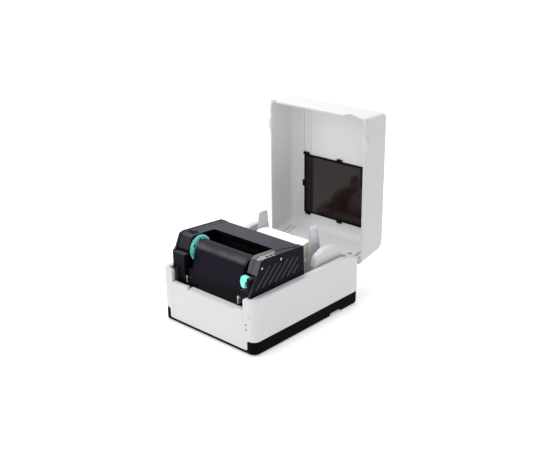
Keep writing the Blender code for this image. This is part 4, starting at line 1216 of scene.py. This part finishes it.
def make_dome(name, side):
    """Rounded housing at one side of the bay, with a shallow recess that faces the roll."""
    node = f"bay_housing_{name}"
    low, high = node_box(node)
    top = high.z + 1.5
    outline = rounded([(low.y, low.z, 0), (high.y, low.z, 0), (high.y, 96, 4), (99, 113, 16), (80, top, 20),
                       (55, top, 20), (36, 113, 16), (low.y, 96, 4)], segments=8)
    dome = slab(f"bay_dome_{name}", "YZ", outline, (low.x, high.x))
    round_edges(dome, 3.2, 5)
    bake(dome)
    inner = min(abs(low.x), abs(high.x))
    cut(dome, plate("dome_recess", "YZ", (44, 60), (98, 106), 1.5, on_side(side, inner - 1, inner + 0.8)))
    settle(dome, "base", [node], edge=0.3)


ARM_Y = 66.0
ARM_INNER = 58.0
ARM_OUTER = 61.5


def make_arms():
    """Roll arms with stiffening ribs on their outer faces, and the stepped hubs that hold the roll."""
    blade = rounded([(48, 28), (84, 28), (84, 84, 10), (75.7, 152, 4), (56.3, 152, 4), (49, 84, 10)], 1, 8)
    pocket = rounded([(53, 34, 2), (79, 34, 2), (79, 84, 8), (72.6, 147, 3), (59.4, 147, 3), (54, 84, 8)])
    for name, side in SIDES.items():
        body = f"arm_{name}"
        arm = slab(f"roll_arm_{name}", "YZ", blade, on_side(side, ARM_INNER, ARM_OUTER))
        cut(arm, slab("arm_pocket", "YZ", pocket, on_side(side, ARM_OUTER - 1.4, ARM_OUTER + 1)))
        for z in (60, 95, 120):
            half = 12.5 - (z - 60) * 0.07
            width = on_side(side, ARM_OUTER - 2, ARM_OUTER)
            join(arm, block("arm_rib", width, (ARM_Y - half, ARM_Y + half), (z, z + 1.4)))
        join(arm, block("arm_stem", on_side(side, 58.3, 60.8), (62.3, 68.7), (22.3, 29)))
        settle(arm, body, [f"media_arm_{name}"], look="milky_plastic", edge=0.4)
        steps = [(0, 57.7, 0), (18, 57.7, 0.5), (18, 55.4, 0.5), (12.2, 55.4, 0.6), (12.2, 52.7, 0.4),
                 (10.8, 51.2, 0.4), (7, 51.2, 0.4), (7, 53.7, 0.4), (0, 53.7, 0)]
        profile = rounded([(radius, side * x, corner) for radius, x, corner in steps], segments=3)
        hub = turned(f"roll_hub_{name}", "X", (ROLL_Y, ROLL_Z), profile, 64)
        settle(hub, body, [f"arm_hub_{name}"], look="milky_plastic", edge=0)


# ---------------- CAD nodes that keep their shape
EDGES = {
    0.08: ["tear_bar"],
    0.15: ["motor_gear"],
    0.2: ["main_board", "head_heat_sink", "arm_rack", "platen_gear", "idler_gear", "arm_pinion"],
    0.25: ["platen_bracket"],
    0.3: ["print_head", "roll_core"],
    0.35: ["usb_port"],
    0.4: ["take_up_core", "supply_core", "media_sensor", "platen_roller"],
    0.5: ["rubber_foot", "power_inlet", "led_light_guide", "media_guide", "power_switch", "feed_button"],
    0.6: ["stepper_motor"],
    0.8: ["lid_hinge_arm"],
    1.1: ["carriage_foot"],
}


def dress_nodes():
    """Paints every CAD node, and rounds the edges of those that stay in view."""
    for name, node in frame["nodes"].items():
        node.data.materials.clear()
        look = "black_plastic" if name in ("supply_core", "take_up_core") else SLOTS[name]
        node.data.materials.append(LOOKS[look].material)
        if node.hide_render:
            continue
        for width, starts in EDGES.items():
            if name.startswith(tuple(starts)):
                round_edges(node, width, 2 if width < 0.5 else 3)
        shade(node)


make_camera()
make_studio()
LOOKS = make_looks()
make_housing()
make_front_panel()
make_tray()
make_cover()
make_window()
make_carriage_frame()
make_side_covers()
make_roof_trim()
make_lever()
make_film()
make_take_up()
make_head_pins()
make_label_roll()
make_bay()
make_arms()
dress_nodes()
